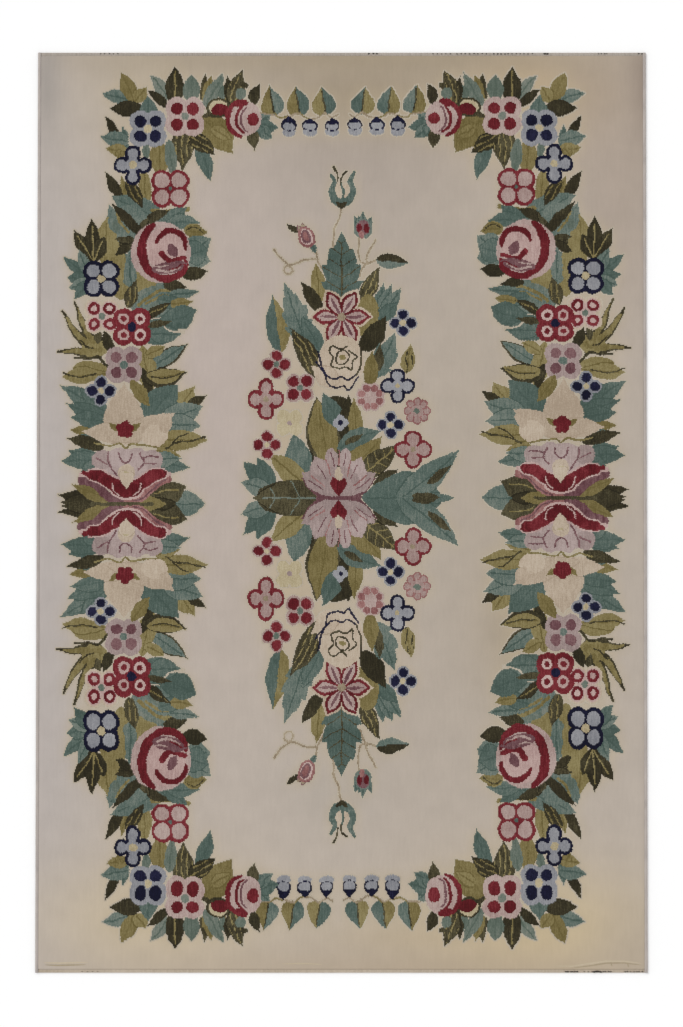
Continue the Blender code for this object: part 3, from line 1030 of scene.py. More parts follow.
@dataclass
class KnotChart:
    """The whole chart: the yarn that is tied at every knot, and how deep its dye is there.

    Attributes:
        yarns: The number of the yarn at each row and column.
        shades: The dye's depth there, from 0, deep, to 1, pale.
    """

    yarns: Array = field(default_factory=lambda: np.zeros((CHART_ROWS, CHART_COLUMNS), np.int8))
    shades: Array = field(default_factory=lambda: np.full((CHART_ROWS, CHART_COLUMNS), 0.5))

    def draw(self) -> None:
        """Draw the garland's four quarters, the spray's two halves, and the halos."""
        columns, rows = self._wandering_places()
        cross = int(MIRROR_COLUMN) - FIRST_COLUMN
        left, right = slice(0, cross), slice(cross, CHART_COLUMNS)
        for side, cross_row in ((left, LEFT_CROSS_ROW), (right, RIGHT_CROSS_ROW)):
            for near in (False, True):
                shift = NEAR_FRIEZE_SHIFT if near else 0.0
                part = self._part(columns + shift, rows, side, cross_row, near)
                for motif in FRIEZE:
                    motif.tie_into(part)
                part = self._part(columns, rows, side, cross_row, near)
                for motif in GARLAND:
                    motif.tie_into(part)
        for near in (False, True):
            part = self._part(columns, rows, None, SPRAY_CROSS_ROW, near)
            for motif in SPRAY:
                motif.tie_into(part)
        self._tie_halo()

    def _wandering_places(self) -> tuple[Array, Array]:
        """Return each knot's column and row, moved by the wander of a hand-tied outline."""
        generator = np.random.default_rng(CHART_SEED)
        rows, columns = np.mgrid[0:CHART_ROWS, 0:CHART_COLUMNS] + 0.5
        rows, columns = rows + FIRST_ROW, columns + FIRST_COLUMN
        moved_columns, moved_rows = columns.copy(), rows.copy()
        for across, along, phase, reach in WANDERS:
            turns = columns / across + rows / along
            moved_columns += reach * np.sin(2.0 * np.pi * turns + phase)
            turns = columns / along - rows / across
            moved_rows += reach * np.sin(2.0 * np.pi * turns + phase * 2.0)
        moved_columns += generator.normal(0.0, KNOT_JITTER, columns.shape)
        moved_rows += generator.normal(0.0, KNOT_JITTER, rows.shape)
        return moved_columns, moved_rows

    def _part(
        self, columns: Array, rows: Array, side: slice | None, cross_row: float, near: bool
    ) -> ChartPart:
        """Return one quarter or half of the chart, with the drawing's places at its knots.

        Args:
            columns: The wandering column of every knot.
            rows: The wandering row of every knot.
            side: The chart columns of the quarter, or None for the whole width.
            cross_row: The row about which this part is mirrored.
            near: Whether this is the part towards the near end.

        Returns:
            The part, whose rows are counted on the far left quarter's drawing.
        """
        across = side or slice(0, CHART_COLUMNS)
        cross_line = int(cross_row) - FIRST_ROW
        along = slice(cross_line, CHART_ROWS) if near else slice(0, cross_line)
        part_columns, part_rows = columns[along, across], rows[along, across]
        if side is not None and side.start:
            part_columns = 2.0 * MIRROR_COLUMN - part_columns
        away = np.abs(part_rows - cross_row)
        if side is None:
            if near:
                away = np.interp(away, SPRAY_DRIFT_NEAR, SPRAY_DRIFT_FAR)
            part_rows = SPRAY_CROSS_ROW - away
        else:
            if near:
                stretch = RIGHT_NEAR_STRETCH if side.start else 1.0
                away = np.interp(away * stretch, GARLAND_DRIFT_NEAR, GARLAND_DRIFT_FAR)
            elif side.start:
                away = away * (LEFT_CROSS_ROW - FIRST_ROW) / (RIGHT_CROSS_ROW - FIRST_ROW)
            part_rows = LEFT_CROSS_ROW - away
        yarns, shades = self.yarns[along, across], self.shades[along, across]
        return ChartPart(yarns, shades, part_columns, part_rows)

    def _tie_halo(self) -> None:
        """Tie the pale yarn into the ground knots that touch a motif."""
        tied = self.yarns > Yarn.GROUND
        padded = np.pad(tied, 1)
        near = np.zeros_like(tied)
        for down in range(3):
            for over in range(3):
                near |= padded[down : down + CHART_ROWS, over : over + CHART_COLUMNS]
        self.yarns[near & ~tied] = Yarn.HALO


# The CAD part's sizes, repeated here in metres because its file isn't read.
LENGTH = 2.758
NEAR_END_WIDTH = 1.8375
FAR_END_WIDTH = 1.8230
FAR_END_SHIFT = 0.0016
PILE_THICKNESS = 0.0070
WEB_THICKNESS = 0.0042
WEB_WIDTH = 0.0090
PILE_SHOULDER = 0.0030
SIDE_CORD_WIDTH = 0.0105
SIDE_CORD_HEIGHT = 0.0084

# How far from an end the cloth's swells start to die away.
END_CALM = 0.036

# Slow swells of the cloth, as in the CAD part: waves across and along, phase, and height.
SWELLS = (
    (1.6, 2.3, 0.4, 0.00035),
    (3.1, 1.2, 2.1, 0.00025),
    (2.2, 5.4, 4.0, 0.00022),
    (5.2, 3.7, 1.3, 0.00016),
)


def width_at(y: Array) -> Array:
    """Return the rug's full width at places along its length."""
    return NEAR_END_WIDTH + (FAR_END_WIDTH - NEAR_END_WIDTH) * (y / LENGTH + 0.5)


def middle_at(y: Array) -> Array:
    """Return the X of the rug's middle line at places along its length."""
    return FAR_END_SHIFT * (y / LENGTH + 0.5)


def swell_at(x: Array, y: Array) -> Array:
    """Return the lift of the face at places: the sum of the swells, calmed near the ends."""
    lift = np.zeros(np.broadcast(x, y).shape)
    for across, along, phase, height in SWELLS:
        turns = across * x / NEAR_END_WIDTH + along * y / LENGTH
        lift += height * np.sin(2.0 * np.pi * turns + phase)
    return lift * np.clip((LENGTH / 2.0 - np.abs(y)) / END_CALM, 0.0, 1.0)


def linear_color(hex_code: str) -> tuple[float, float, float, float]:
    """Turn an sRGB hex value into the linear colour that Blender's shaders take.

    Args:
        hex_code: Six hex digits after a hash sign.

    Returns:
        Linear red, green and blue, and a full alpha.
    """
    shares = [int(hex_code[place : place + 2], 16) / 255.0 for place in (1, 3, 5)]
    linear = [s / 12.92 if s <= 0.04045 else ((s + 0.055) / 1.055) ** 2.4 for s in shares]
    return (*linear, 1.0)


def add_node(
    tree: NodeTree, kind: str, settings: dict | None = None, inputs: dict | None = None
) -> Node:
    """Add one node to a tree, with its settings and its inputs.

    Args:
        tree: The node tree.
        kind: The node's type name.
        settings: Values of the node's own properties.
        inputs: For each input's name or number, a value or the output socket that feeds it.

    Returns:
        The new node.
    """
    node = tree.nodes.new(kind)
    for name, value in (settings or {}).items():
        setattr(node, name, value)
    for name, value in (inputs or {}).items():
        socket = node.inputs[name]
        if isinstance(value, NodeSocket):
            tree.links.new(value, socket)
        else:
            socket.default_value = value
    return node


def mesh_from_faces(name: str, places: Array, quads: Array, ngons: Sequence[Array] = ()) -> Mesh:
    """Make a mesh from points, four-cornered faces and faces of many corners.

    Args:
        name: The mesh's name.
        places: One row of x, y and z for each point.
        quads: One row of four point numbers for each face.
        ngons: The point numbers of each face of many corners.

    Returns:
        The mesh.
    """
    mesh = bpy.data.meshes.new(name)
    corners = np.concatenate([quads.ravel(), *ngons]).astype(np.int32)
    counts = np.array([4] * len(quads) + [len(ngon) for ngon in ngons], dtype=np.int32)
    starts = np.concatenate([[0], np.cumsum(counts)[:-1]]).astype(np.int32)
    mesh.vertices.add(len(places))
    mesh.vertices.foreach_set("co", places.astype(np.float32).ravel())
    mesh.loops.add(len(corners))
    mesh.loops.foreach_set("vertex_index", corners)
    mesh.polygons.add(len(counts))
    mesh.polygons.foreach_set("loop_start", starts)
    mesh.polygons.foreach_set("loop_total", counts)
    mesh.update(calc_edges=True)
    mesh.validate()
    return mesh


def grid_quads(number: Array) -> Array:
    """Return the faces of a lattice, from the numbers of its points by row and column."""
    corners = [number[:-1, :-1], number[:-1, 1:], number[1:, 1:], number[1:, :-1]]
    return np.stack(corners, axis=-1).reshape(-1, 4)


def tube_quads(number: Array) -> Array:
    """Return the faces of a tube, from the numbers of its points by ring and place on it."""
    beside = np.roll(number, -1, axis=1)
    corners = [number[:-1], number[1:], beside[1:], beside[:-1]]
    return np.stack(corners, axis=-1).reshape(-1, 4)


def points_of(mesh: Mesh) -> Array:
    """Return the place of each of a mesh's points."""
    places = np.zeros(len(mesh.vertices) * 3, dtype=np.float32)
    mesh.vertices.foreach_get("co", places)
    return places.reshape(-1, 3)


def put_uv(mesh: Mesh, places: Array) -> None:
    """Give a mesh its own flat map, from one pair of numbers for each face corner."""
    layer = mesh.uv_layers.new(name="OFBake")
    layer.uv.foreach_set("vector", places.astype(np.float32).ravel())


def put_values(mesh: Mesh, name: str, domain: str, values: Array) -> None:
    """Give a mesh one number for each point or face, under a name that materials read."""
    mesh.attributes.new(name, "FLOAT", domain).data.foreach_set("value", values.ravel())


def show_piece(name: str, mesh: Mesh, material: Material) -> Object:
    """Put a mesh into the scene as a piece that rides on the rug.

    Args:
        name: The piece's name.
        mesh: Its mesh, in place.
        material: Its material.

    Returns:
        The piece.
    """
    mesh.materials.append(material)
    mesh.polygons.foreach_set("use_smooth", np.ones(len(mesh.polygons), dtype=bool))
    piece = bpy.data.objects.new(name, mesh)
    bpy.context.scene.collection.objects.link(piece)
    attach(piece, BODY)
    LOG.info("%s: %d faces", name, len(mesh.polygons))
    return piece


def new_material(name: str) -> tuple[Material, NodeTree, Node]:
    """Make a material, and return it with its node tree and its shader."""
    material = bpy.data.materials.new(name)
    material.use_nodes = True
    return material, material.node_tree, material.node_tree.nodes["Principled BSDF"]


def stretched_noise(
    tree: NodeTree, place: NodeSocket, scale: tuple[float, float, float], detail: float
) -> NodeSocket:
    """Add a cloudy pattern that is stretched along one axis.

    Args:
        tree: The material's node tree.
        place: The object coordinates.
        scale: How many clouds there are to a metre along each axis.
        detail: How many finer layers the pattern has.

    Returns:
        The pattern, from 0 to 1.
    """
    stretched = add_node(
        tree, "ShaderNodeMapping", {"vector_type": "POINT"}, {"Vector": place, "Scale": scale}
    )
    inputs = {"Vector": stretched.outputs["Vector"], "Scale": 1.0, "Detail": detail}
    return add_node(tree, "ShaderNodeTexNoise", inputs=inputs).outputs["Fac"]


# The clouds to a metre of a wool's streaks and bands and of the ground's ribs, and the sums of
# a wool's patterns at which it is deepest and lightest.
STREAK_SCALE = (250.0, 26.0, 1.0)
BAND_SCALE = (3.5, 11.0, 1.0)
RIB_SCALE = (125.0, 17.0, 1.0)
DEEPEST_SUM = 1.08
LIGHTEST_SUM = 1.92


@dataclass(frozen=True)
class DyedWool:
    """Hand-spun wool, dyed in the yarn and knotted into a clipped pile.

    The eye sees a dull, soft surface of tufts, with streaks where the dye took unevenly along
    the yarn and slow bands where one dye lot gave way to the next.

    Attributes:
        name: The material's name.
        shade: The yarn's usual colour.
        light: Its worn and paler colour.
        deep: Its darker colour.
        tuft: The height of the tufts that the bump shows, in metres.
    """

    name: str
    shade: str
    light: str
    deep: str
    tuft: float = 0.0006

    def material(self) -> Material:
        """Make the wool's material.

        The shade drifts to the light or deep colour by three patterns: the tint that each
        knot carries, streaks 4 mm wide and 40 mm long, and bands of dye 90 mm apart.
        """
        material, tree, shader = new_material(self.name)
        place = add_node(tree, "ShaderNodeTexCoord").outputs["Object"]
        tint = add_node(tree, "ShaderNodeAttribute", {"attribute_name": "tint"})
        drift = stretched_noise(tree, place, STREAK_SCALE, 2.0)
        for pattern in (stretched_noise(tree, place, BAND_SCALE, 3.0), tint.outputs["Fac"]):
            summed = {0: drift, 1: pattern}
            drift = add_node(tree, "ShaderNodeMath", {"operation": "ADD"}, summed).outputs[0]
        span = {"Value": drift, "From Min": DEEPEST_SUM, "From Max": LIGHTEST_SUM}
        ramp = add_node(tree, "ShaderNodeMapRange", inputs=span)
        colors = add_node(tree, "ShaderNodeValToRGB", inputs={"Fac": ramp.outputs[0]})
        colors.color_ramp.elements[0].color = linear_color(self.deep)
        colors.color_ramp.elements[1].color = linear_color(self.light)
        colors.color_ramp.elements.new(0.5).color = linear_color(self.shade)
        tree.links.new(colors.outputs["Color"], shader.inputs["Base Color"])
        dress_as_pile(tree, shader, place, self.tuft)
        return material


def dress_as_pile(tree: NodeTree, shader: Node, place: NodeSocket, tuft: float) -> None:
    """Give a shader the relief, roughness and sheen of clipped wool.

    Args:
        tree: The material's node tree.
        shader: Its shader.
        place: The object coordinates.
        tuft: The height of the tufts, in metres.
    """
    knots = {"Vector": place, "Scale": 1.0 / KNOT, "Randomness": 0.75}
    tufts = add_node(tree, "ShaderNodeTexVoronoi", {"feature": "F1"}, knots)
    fine = {"Vector": place, "Scale": 900.0, "Detail": 2.0}
    fibres = add_node(tree, "ShaderNodeTexNoise", inputs=fine)
    mixed = {0: fibres.outputs["Fac"], 1: 0.6, 2: tufts.outputs["Distance"]}
    relief = add_node(tree, "ShaderNodeMath", {"operation": "MULTIPLY_ADD"}, mixed)
    raised = {"Height": relief.outputs[0], "Strength": 0.55, "Distance": tuft}
    bump = add_node(tree, "ShaderNodeBump", {"invert": True}, raised)
    span = {"Value": fibres.outputs["Fac"], "To Min": 0.86, "To Max": 0.98}
    matt = add_node(tree, "ShaderNodeMapRange", inputs=span)
    tree.links.new(bump.outputs["Normal"], shader.inputs["Normal"])
    tree.links.new(matt.outputs[0], shader.inputs["Roughness"])
    shader.inputs["Specular IOR Level"].default_value = 0.12
    shader.inputs["Sheen Weight"].default_value = 0.06
    shader.inputs["Sheen Roughness"].default_value = 0.6


# Each yarn's wool, as dyed: its usual, its paler and its darker colour. Teal, grey teal, olive
# and dark green give the eye the leaves; crimson, navy and mauve the strong hearts and outlines
# of the flowers; the pale wools their petals; bleached wool the faint rim round each motif.
WOOLS: dict[Yarn, DyedWool] = {
    HALO: DyedWool("bleached_wool_pile", "#b1a695", "#bab09f", "#a79b88"),
    TEAL: DyedWool("teal_dyed_wool_pile", "#53625b", "#737b72", "#3f4f48"),
    MIST: DyedWool("grey_teal_dyed_wool_pile", "#626c62", "#7c7f75", "#4e5a50"),
    OLIVE: DyedWool("olive_dyed_wool_pile", "#776b44", "#8b8059", "#60552f"),
    INK: DyedWool("dark_green_dyed_wool_pile", "#35301f", "#565039", "#231f12"),
    CRIMSON: DyedWool("crimson_dyed_wool_pile", "#60181f", "#7a2f35", "#490d12"),
    NAVY: DyedWool("navy_dyed_wool_pile", "#0e0f28", "#20203c", "#08081c"),
    PALE_BLUE: DyedWool("pale_blue_dyed_wool_pile", "#88888c", "#9a9a9d", "#74757b"),
    PINK: DyedWool("pink_dyed_wool_pile", "#a08a84", "#b29f98", "#8b716c"),
    CREAM: DyedWool("cream_wool_pile", "#b1a18e", "#bdaf9d", "#9f8e7b"),
    LILAC: DyedWool("lilac_dyed_wool_pile", "#9b8985", "#ac9b97", "#867572"),
    MAUVE: DyedWool("mauve_dyed_wool_pile", "#67464a", "#7f6061", "#512f34"),
    ROSE: DyedWool("rose_dyed_wool_pile", "#8a5f5c", "#a07a76", "#714646"),
    BLUSH: DyedWool("blush_dyed_wool_pile", "#b09690", "#bda8a1", "#9c807c"),
    FAWN: DyedWool("fawn_dyed_wool_pile", "#92836e", "#a4967f", "#7c6d58"),
    STRAW: DyedWool("straw_dyed_wool_pile", "#aa9d7f", "#b9ad91", "#968869"),
}


@dataclass(frozen=True)
class Stain:
    """A soft patch where the ground has changed colour.

    Its share at a place is the largest share times exp(-(dx/reach_x)^2 - (dy/reach_y)^2).

    Attributes:
        color: Its colour.
        x, y: The place of its middle, in metres.
        reach_x, reach_y: How far it reaches across and along the rug.
        share: Its share of the ground's colour at its middle.
    """

    color: str
    x: float
    y: float
    reach_x: float
    reach_y: float
    share: float


# How the cream ground has aged: dust-grey and pink places, yellowed corners and brown ends.
STAINS: tuple[Stain, ...] = (
    Stain("#ada193", 0.45, 0.10, 0.48, 1.15, 0.85),
    Stain("#b6a8a1", -0.35, 0.40, 0.30, 0.80, 0.7),
    Stain("#b2aaa6", -0.90, 0.00, 0.14, 1.60, 0.9),
    Stain("#b6a996", -0.55, 1.27, 0.26, 0.20, 0.8),
    Stain("#b9a281", 0.56, 1.24, 0.24, 0.17, 0.85),
    Stain("#c2b297", -0.55, -1.22, 0.36, 0.17, 0.85),
    Stain("#c3b08c", 0.58, -1.24, 0.36, 0.18, 0.85),
    Stain("#a3978d", 0.05, 1.05, 0.32, 0.17, 0.65),
    Stain("#aa9e93", 0.08, 0.78, 0.26, 0.22, 0.55),
    Stain("#998a74", 0.06, 1.25, 0.38, 0.12, 0.8),
    Stain("#9c8d76", 0.05, 1.37, 0.85, 0.07, 0.75),
    Stain("#ab9981", 0.20, -1.37, 0.80, 0.07, 0.6),
    Stain("#9c8b74", 0.78, 1.25, 0.10, 0.10, 0.5),
    Stain("#b9ada2", 0.75, 0.46, 0.12, 0.20, 0.5),
    Stain("#b8ac9f", 0.55, 0.80, 0.16, 0.20, 0.5),
    Stain("#b3a184", 0.20, -1.27, 0.30, 0.06, 0.5),
    Stain("#a6978a", 0.84, 0.98, 0.18, 0.40, 0.75),
    Stain("#8f8074", 0.91, 1.30, 0.05, 0.18, 0.7),
    Stain("#9c958f", -0.89, 1.30, 0.05, 0.20, 0.8),
    Stain("#ab9d8b", 0.88, -1.30, 0.10, 0.14, 0.5),
    Stain("#b4a387", -0.12, 0.26, 0.12, 0.22, 0.6),
    Stain("#b4a387", -0.12, -0.22, 0.12, 0.22, 0.6),
    Stain("#a09179", 0.52, -0.36, 0.12, 0.24, 0.6),
    Stain("#aaa196", -0.02, -0.83, 0.14, 0.10, 0.6),
    Stain("#ab9f92", 0.08, -0.60, 0.20, 0.24, 0.4),
)

# The cream of the ground away from every stain, and its yellow beside the motifs.
GROUND_COLOR = "#b5aa9f"
BLEED_COLOR = "#b3a489"


@dataclass
class GroundCloth:
    """The rug's body: the cream pile with its flat-woven ends, closed round a flat back.

    Attributes:
        chart: The chart of the pile, whose dyes have yellowed the ground beside them.
        cells_across: Cells of the face across the rug.
        cells_along: Cells of the face along the rug.
        tuck: How far the cloth is tucked in below the side's binding, in metres.
        rounding: How far the pile's side edge lies below its face, in metres.
        rounded_share: The share of the half width over which the face falls to that edge.
        unevenness: How far single tufts stand above or below the clip line, in metres.
        bleed: How far the yellowing reaches from a motif, in knots.
        bleed_gain: How fast the yellowing rises with the share of motif knots round a place.
        bleed_share: Its share of the ground's colour where motifs are all round.
    """

    chart: KnotChart
    cells_across: int = 168
    cells_along: int = 250
    tuck: float = 0.0008
    rounding: float = 0.0012
    rounded_share: float = 0.0034
    unevenness: float = 0.00006
    bleed: int = 9
    bleed_gain: float = 1.6
    bleed_share: float = 0.5

    def build(self) -> Object:
        """Build and dress the cloth, and return its piece."""
        insets = (0.0, WEB_WIDTH, WEB_WIDTH + PILE_SHOULDER)
        rows = self._stations(self.cells_along, LENGTH / 2.0, insets)
        top = self._face(rows)
        back = self._back_ring(top)
        width, depth = self.cells_across + 1, self.cells_along + 1
        number = np.arange(width * depth).reshape(depth, width)
        quads = grid_quads(number)
        ring = self._ring(number)
        below = width * depth + np.arange(len(ring))
        walls = np.stack([ring, below, np.roll(below, -1), np.roll(ring, -1)], axis=-1)
        mesh = mesh_from_faces(
            "ground_cloth",
            np.vstack([top.reshape(-1, 3), back]),
            np.vstack([quads, walls]),
            [below[::-1]],
        )
        self._map(mesh, len(quads), len(walls))
        self._age(mesh)
        piece = show_piece("ground_cloth", mesh, self._material())
        mesh.set_sharp_from_angle(angle=math.radians(30.0))
        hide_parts("rug")
        return piece

    def _stations(self, count: int, half_span: float, insets: Sequence[float]) -> Array:
        """Return even stations from edge to edge, with the given insets kept at both edges."""
        reach = half_span - insets[-1]
        inner = np.linspace(-reach, reach, count - 2 * len(insets) + 3)
        edge = np.array(insets[:-1])
        return np.concatenate([edge - half_span, inner, half_span - edge[::-1]])

    def _face(self, rows: Array) -> Array:
        """Return the points of the face: its height is the thickness, the swells and the tufts.

        The pile falls to the bare weave over the shoulder at each end, and the last cell
        along each side slopes down to the lower edge.
        """
        y = np.repeat(rows[:, None], self.cells_across + 1, axis=1)
        half = width_at(y) / 2.0 - SIDE_CORD_WIDTH + self.tuck
        share = self._stations(self.cells_across, 1.0, (0.0, self.rounded_share))
        x = middle_at(y) + half * share[None, :]
        inset = LENGTH / 2.0 - np.abs(y)
        pile = np.clip((inset - WEB_WIDTH) / PILE_SHOULDER, 0.0, 1.0)
        height = WEB_THICKNESS + (PILE_THICKNESS - WEB_THICKNESS) * pile
        height = height - self.rounding * (np.abs(share)[None, :] > 0.9999)
        generator = np.random.default_rng(CHART_SEED)
        tufts = generator.normal(0.0, self.unevenness, y.shape) * pile
        return np.stack([x, y, height + swell_at(x, y) + tufts], axis=-1)

    def _ring(self, number: Array) -> Array:
        """Return the numbers of the rim's points, once round, so that walls face outwards."""
        return np.concatenate(
            [number[0, :-1], number[:-1, -1], number[-1, :0:-1], number[:0:-1, 0]]
        )

    def _back_ring(self, top: Array) -> Array:
        """Return the rim's points, put down on the floor."""
        ring = self._ring(np.arange(top.shape[0] * top.shape[1]).reshape(top.shape[:2]))
        back = top.reshape(-1, 3)[ring].copy()
        back[:, 2] = 0.0
        return back

    def _map(self, mesh: Mesh, face_count: int, wall_count: int) -> None:
        """Lay the face out on two thirds of the map, the walls and the back on the rest."""
        corners = np.zeros(len(mesh.loops), dtype=np.int32)
        mesh.loops.foreach_get("vertex_index", corners)
        places = points_of(mesh)[corners]
        across, along = places[:, 0] / NEAR_END_WIDTH + 0.5, places[:, 1] / LENGTH + 0.5
        face_end, wall_end = face_count * 4, (face_count + wall_count) * 4
        spots = np.stack([0.01 + 0.64 * across, 0.01 + 0.98 * along], axis=-1)
        spots[wall_end:, 0] = 0.99 - 0.24 * across[wall_end:]
        order = np.repeat(np.arange(wall_count), 4) / wall_count
        step = np.tile([0.0, 0.0, 1.0, 1.0], wall_count) / wall_count
        spots[face_end:wall_end, 0] = 0.67 + 2.0 * places[face_end:wall_end, 2]
        spots[face_end:wall_end, 1] = 0.01 + 0.98 * (order + step)
        put_uv(mesh, spots)

    def _age(self, mesh: Mesh) -> None:
        """Colour the ground by its stains, one laid over the next."""
        places = points_of(mesh)
        color = np.tile(np.array(linear_color(GROUND_COLOR)), (len(places), 1))
        for stain in STAINS:
            across = (places[:, 0] - stain.x) / stain.reach_x
            along = (places[:, 1] - stain.y) / stain.reach_y
            share = stain.share * np.exp(-(across**2) - along**2)[:, None]
            color = color * (1.0 - share) + np.array(linear_color(stain.color)) * share
        share = self._bleed_at(places)[:, None]
        color = color * (1.0 - share) + np.array(linear_color(BLEED_COLOR)) * share
        layer = mesh.color_attributes.new("aged", "FLOAT_COLOR", "POINT")
        layer.data.foreach_set("color", color.astype(np.float32).ravel())

    def _bleed_at(self, places: Array) -> Array:
        """Return the yellowing at places: the share of motif knots in a window round each."""
        tied = np.pad((self.chart.yarns > Yarn.HALO).astype(float), self.bleed + 1)
        total = tied.cumsum(axis=0).cumsum(axis=1)
        size = 2 * self.bleed + 1
        window = total[size:, size:] - total[:-size, size:]
        window = (window - total[size:, :-size] + total[:-size, :-size]) / size**2
        column = (places[:, 0] / KNOT + COLUMN_AT_MIDDLE - FIRST_COLUMN).astype(int)
        row = (ROW_AT_MIDDLE - FIRST_ROW - places[:, 1] / KNOT).astype(int)
        inside = window[np.clip(row, 0, CHART_ROWS - 1), np.clip(column, 0, CHART_COLUMNS - 1)]
        return self.bleed_share * np.clip(self.bleed_gain * inside, 0.0, 1.0)

    def _material(self) -> Material:
        """Make the ground's material: undyed cream wool, aged, with faint ribs of yarn."""
        material, tree, shader = new_material("undyed_cream_wool_pile")
        place = add_node(tree, "ShaderNodeTexCoord").outputs["Object"]
        aged = add_node(tree, "ShaderNodeAttribute", {"attribute_name": "aged"})
        ribbed = stretched_noise(tree, place, RIB_SCALE, 3.0)
        clouds = {"Vector": place, "Scale": 14.0, "Detail": 4.0}
        cloudy = add_node(tree, "ShaderNodeTexNoise", inputs=clouds)
        mixed = {0: ribbed, 1: 0.6, 2: cloudy.outputs["Fac"]}
        both = add_node(tree, "ShaderNodeMath", {"operation": "MULTIPLY_ADD"}, mixed)
        span = {"From Min": 0.4, "From Max": 1.2, "To Min": 0.94, "To Max": 1.06}
        value = add_node(tree, "ShaderNodeMapRange", inputs={"Value": both.outputs[0], **span})
        scaled = {0: aged.outputs["Color"], "Scale": value.outputs[0]}
        toned = add_node(tree, "ShaderNodeVectorMath", {"operation": "SCALE"}, scaled)
        tree.links.new(toned.outputs[0], shader.inputs["Base Color"])
        dress_as_pile(tree, shader, place, 0.0005)
        return material


@dataclass
class YarnPile:
    """The raised pile of the chart: one piece for each yarn.

    Attributes:
        chart: The chart that is knotted.
        rise: How far a motif's pile stands above the ground's, in metres.
        edge: How far it stands above the ground where the two meet.
        unevenness: How far single tufts stand above or below the clip line.
        mottle: How far the tint of single knots lies from their motif's.
    """

    chart: KnotChart
    rise: float = 0.00050
    edge: float = 0.00014
    unevenness: float = 0.00007
    mottle: float = 0.16

    def build(self) -> list[Object]:
        """Build and dress the pile of every yarn, and return its pieces."""
        places = self._lattice()
        pieces = []
        for yarn, wool in WOOLS.items():
            rows, columns = np.nonzero(self.chart.yarns == yarn)
            if not len(rows):
                continue
            pieces.append(self._piece(yarn, wool, rows, columns, places))
        return pieces

    def _lattice(self) -> Array:
        """Return the corner points between the knots.

        A corner's height is the cloth's face plus the full rise, or the small edge height
        where one of the four knots round it is ground, so that the pile rolls down there.
        """
        rows, columns = np.mgrid[0 : CHART_ROWS + 1, 0 : CHART_COLUMNS + 1].astype(float)
        x = (columns + FIRST_COLUMN - COLUMN_AT_MIDDLE) * KNOT
        y = (ROW_AT_MIDDLE - FIRST_ROW - rows) * KNOT
        raised = np.pad(self.chart.yarns > Yarn.HALO, 1)
        inner = raised[:-1, :-1] & raised[1:, :-1] & raised[:-1, 1:] & raised[1:, 1:]
        generator = np.random.default_rng(CHART_SEED + 1)
        tufts = generator.normal(0.0, self.unevenness, x.shape)
        rise = np.where(inner, self.rise + tufts, self.edge)
        return np.stack([x, y, PILE_THICKNESS + swell_at(x, y) + rise], axis=-1)

    def _piece(
        self, yarn: Yarn, wool: DyedWool, rows: Array, columns: Array, places: Array
    ) -> Object:
        """Make the pile of one yarn, with one face for each of its knots.

        Args:
            yarn: The yarn.
            wool: Its finish.
            rows: The chart row of each knot.
            columns: The chart column of each knot.
            places: The points between the knots.

        Returns:
            The piece.
        """
        stride = CHART_COLUMNS + 1
        corner = rows * stride + columns
        quads = np.stack([corner + stride, corner + stride + 1, corner + 1, corner], axis=-1)
        used, renumbered = np.unique(quads, return_inverse=True)
        points = places.reshape(-1, 3)[used]
        quads = renumbered.reshape(-1, 4)
        name = f"pile_{yarn.name.lower()}"
        mesh = mesh_from_faces(name, points, quads)
        spots = points[quads.ravel()]
        put_uv(mesh, spots[:, :2] / (NEAR_END_WIDTH, LENGTH) + 0.5)
        generator = np.random.default_rng(CHART_SEED + 2 + int(yarn))
        mottle = generator.uniform(-self.mottle, self.mottle, len(quads))
        tints = self.chart.shades[rows, columns] + mottle
        put_values(mesh, "tint", "FACE", tints)
        return show_piece(name, mesh, wool.material())


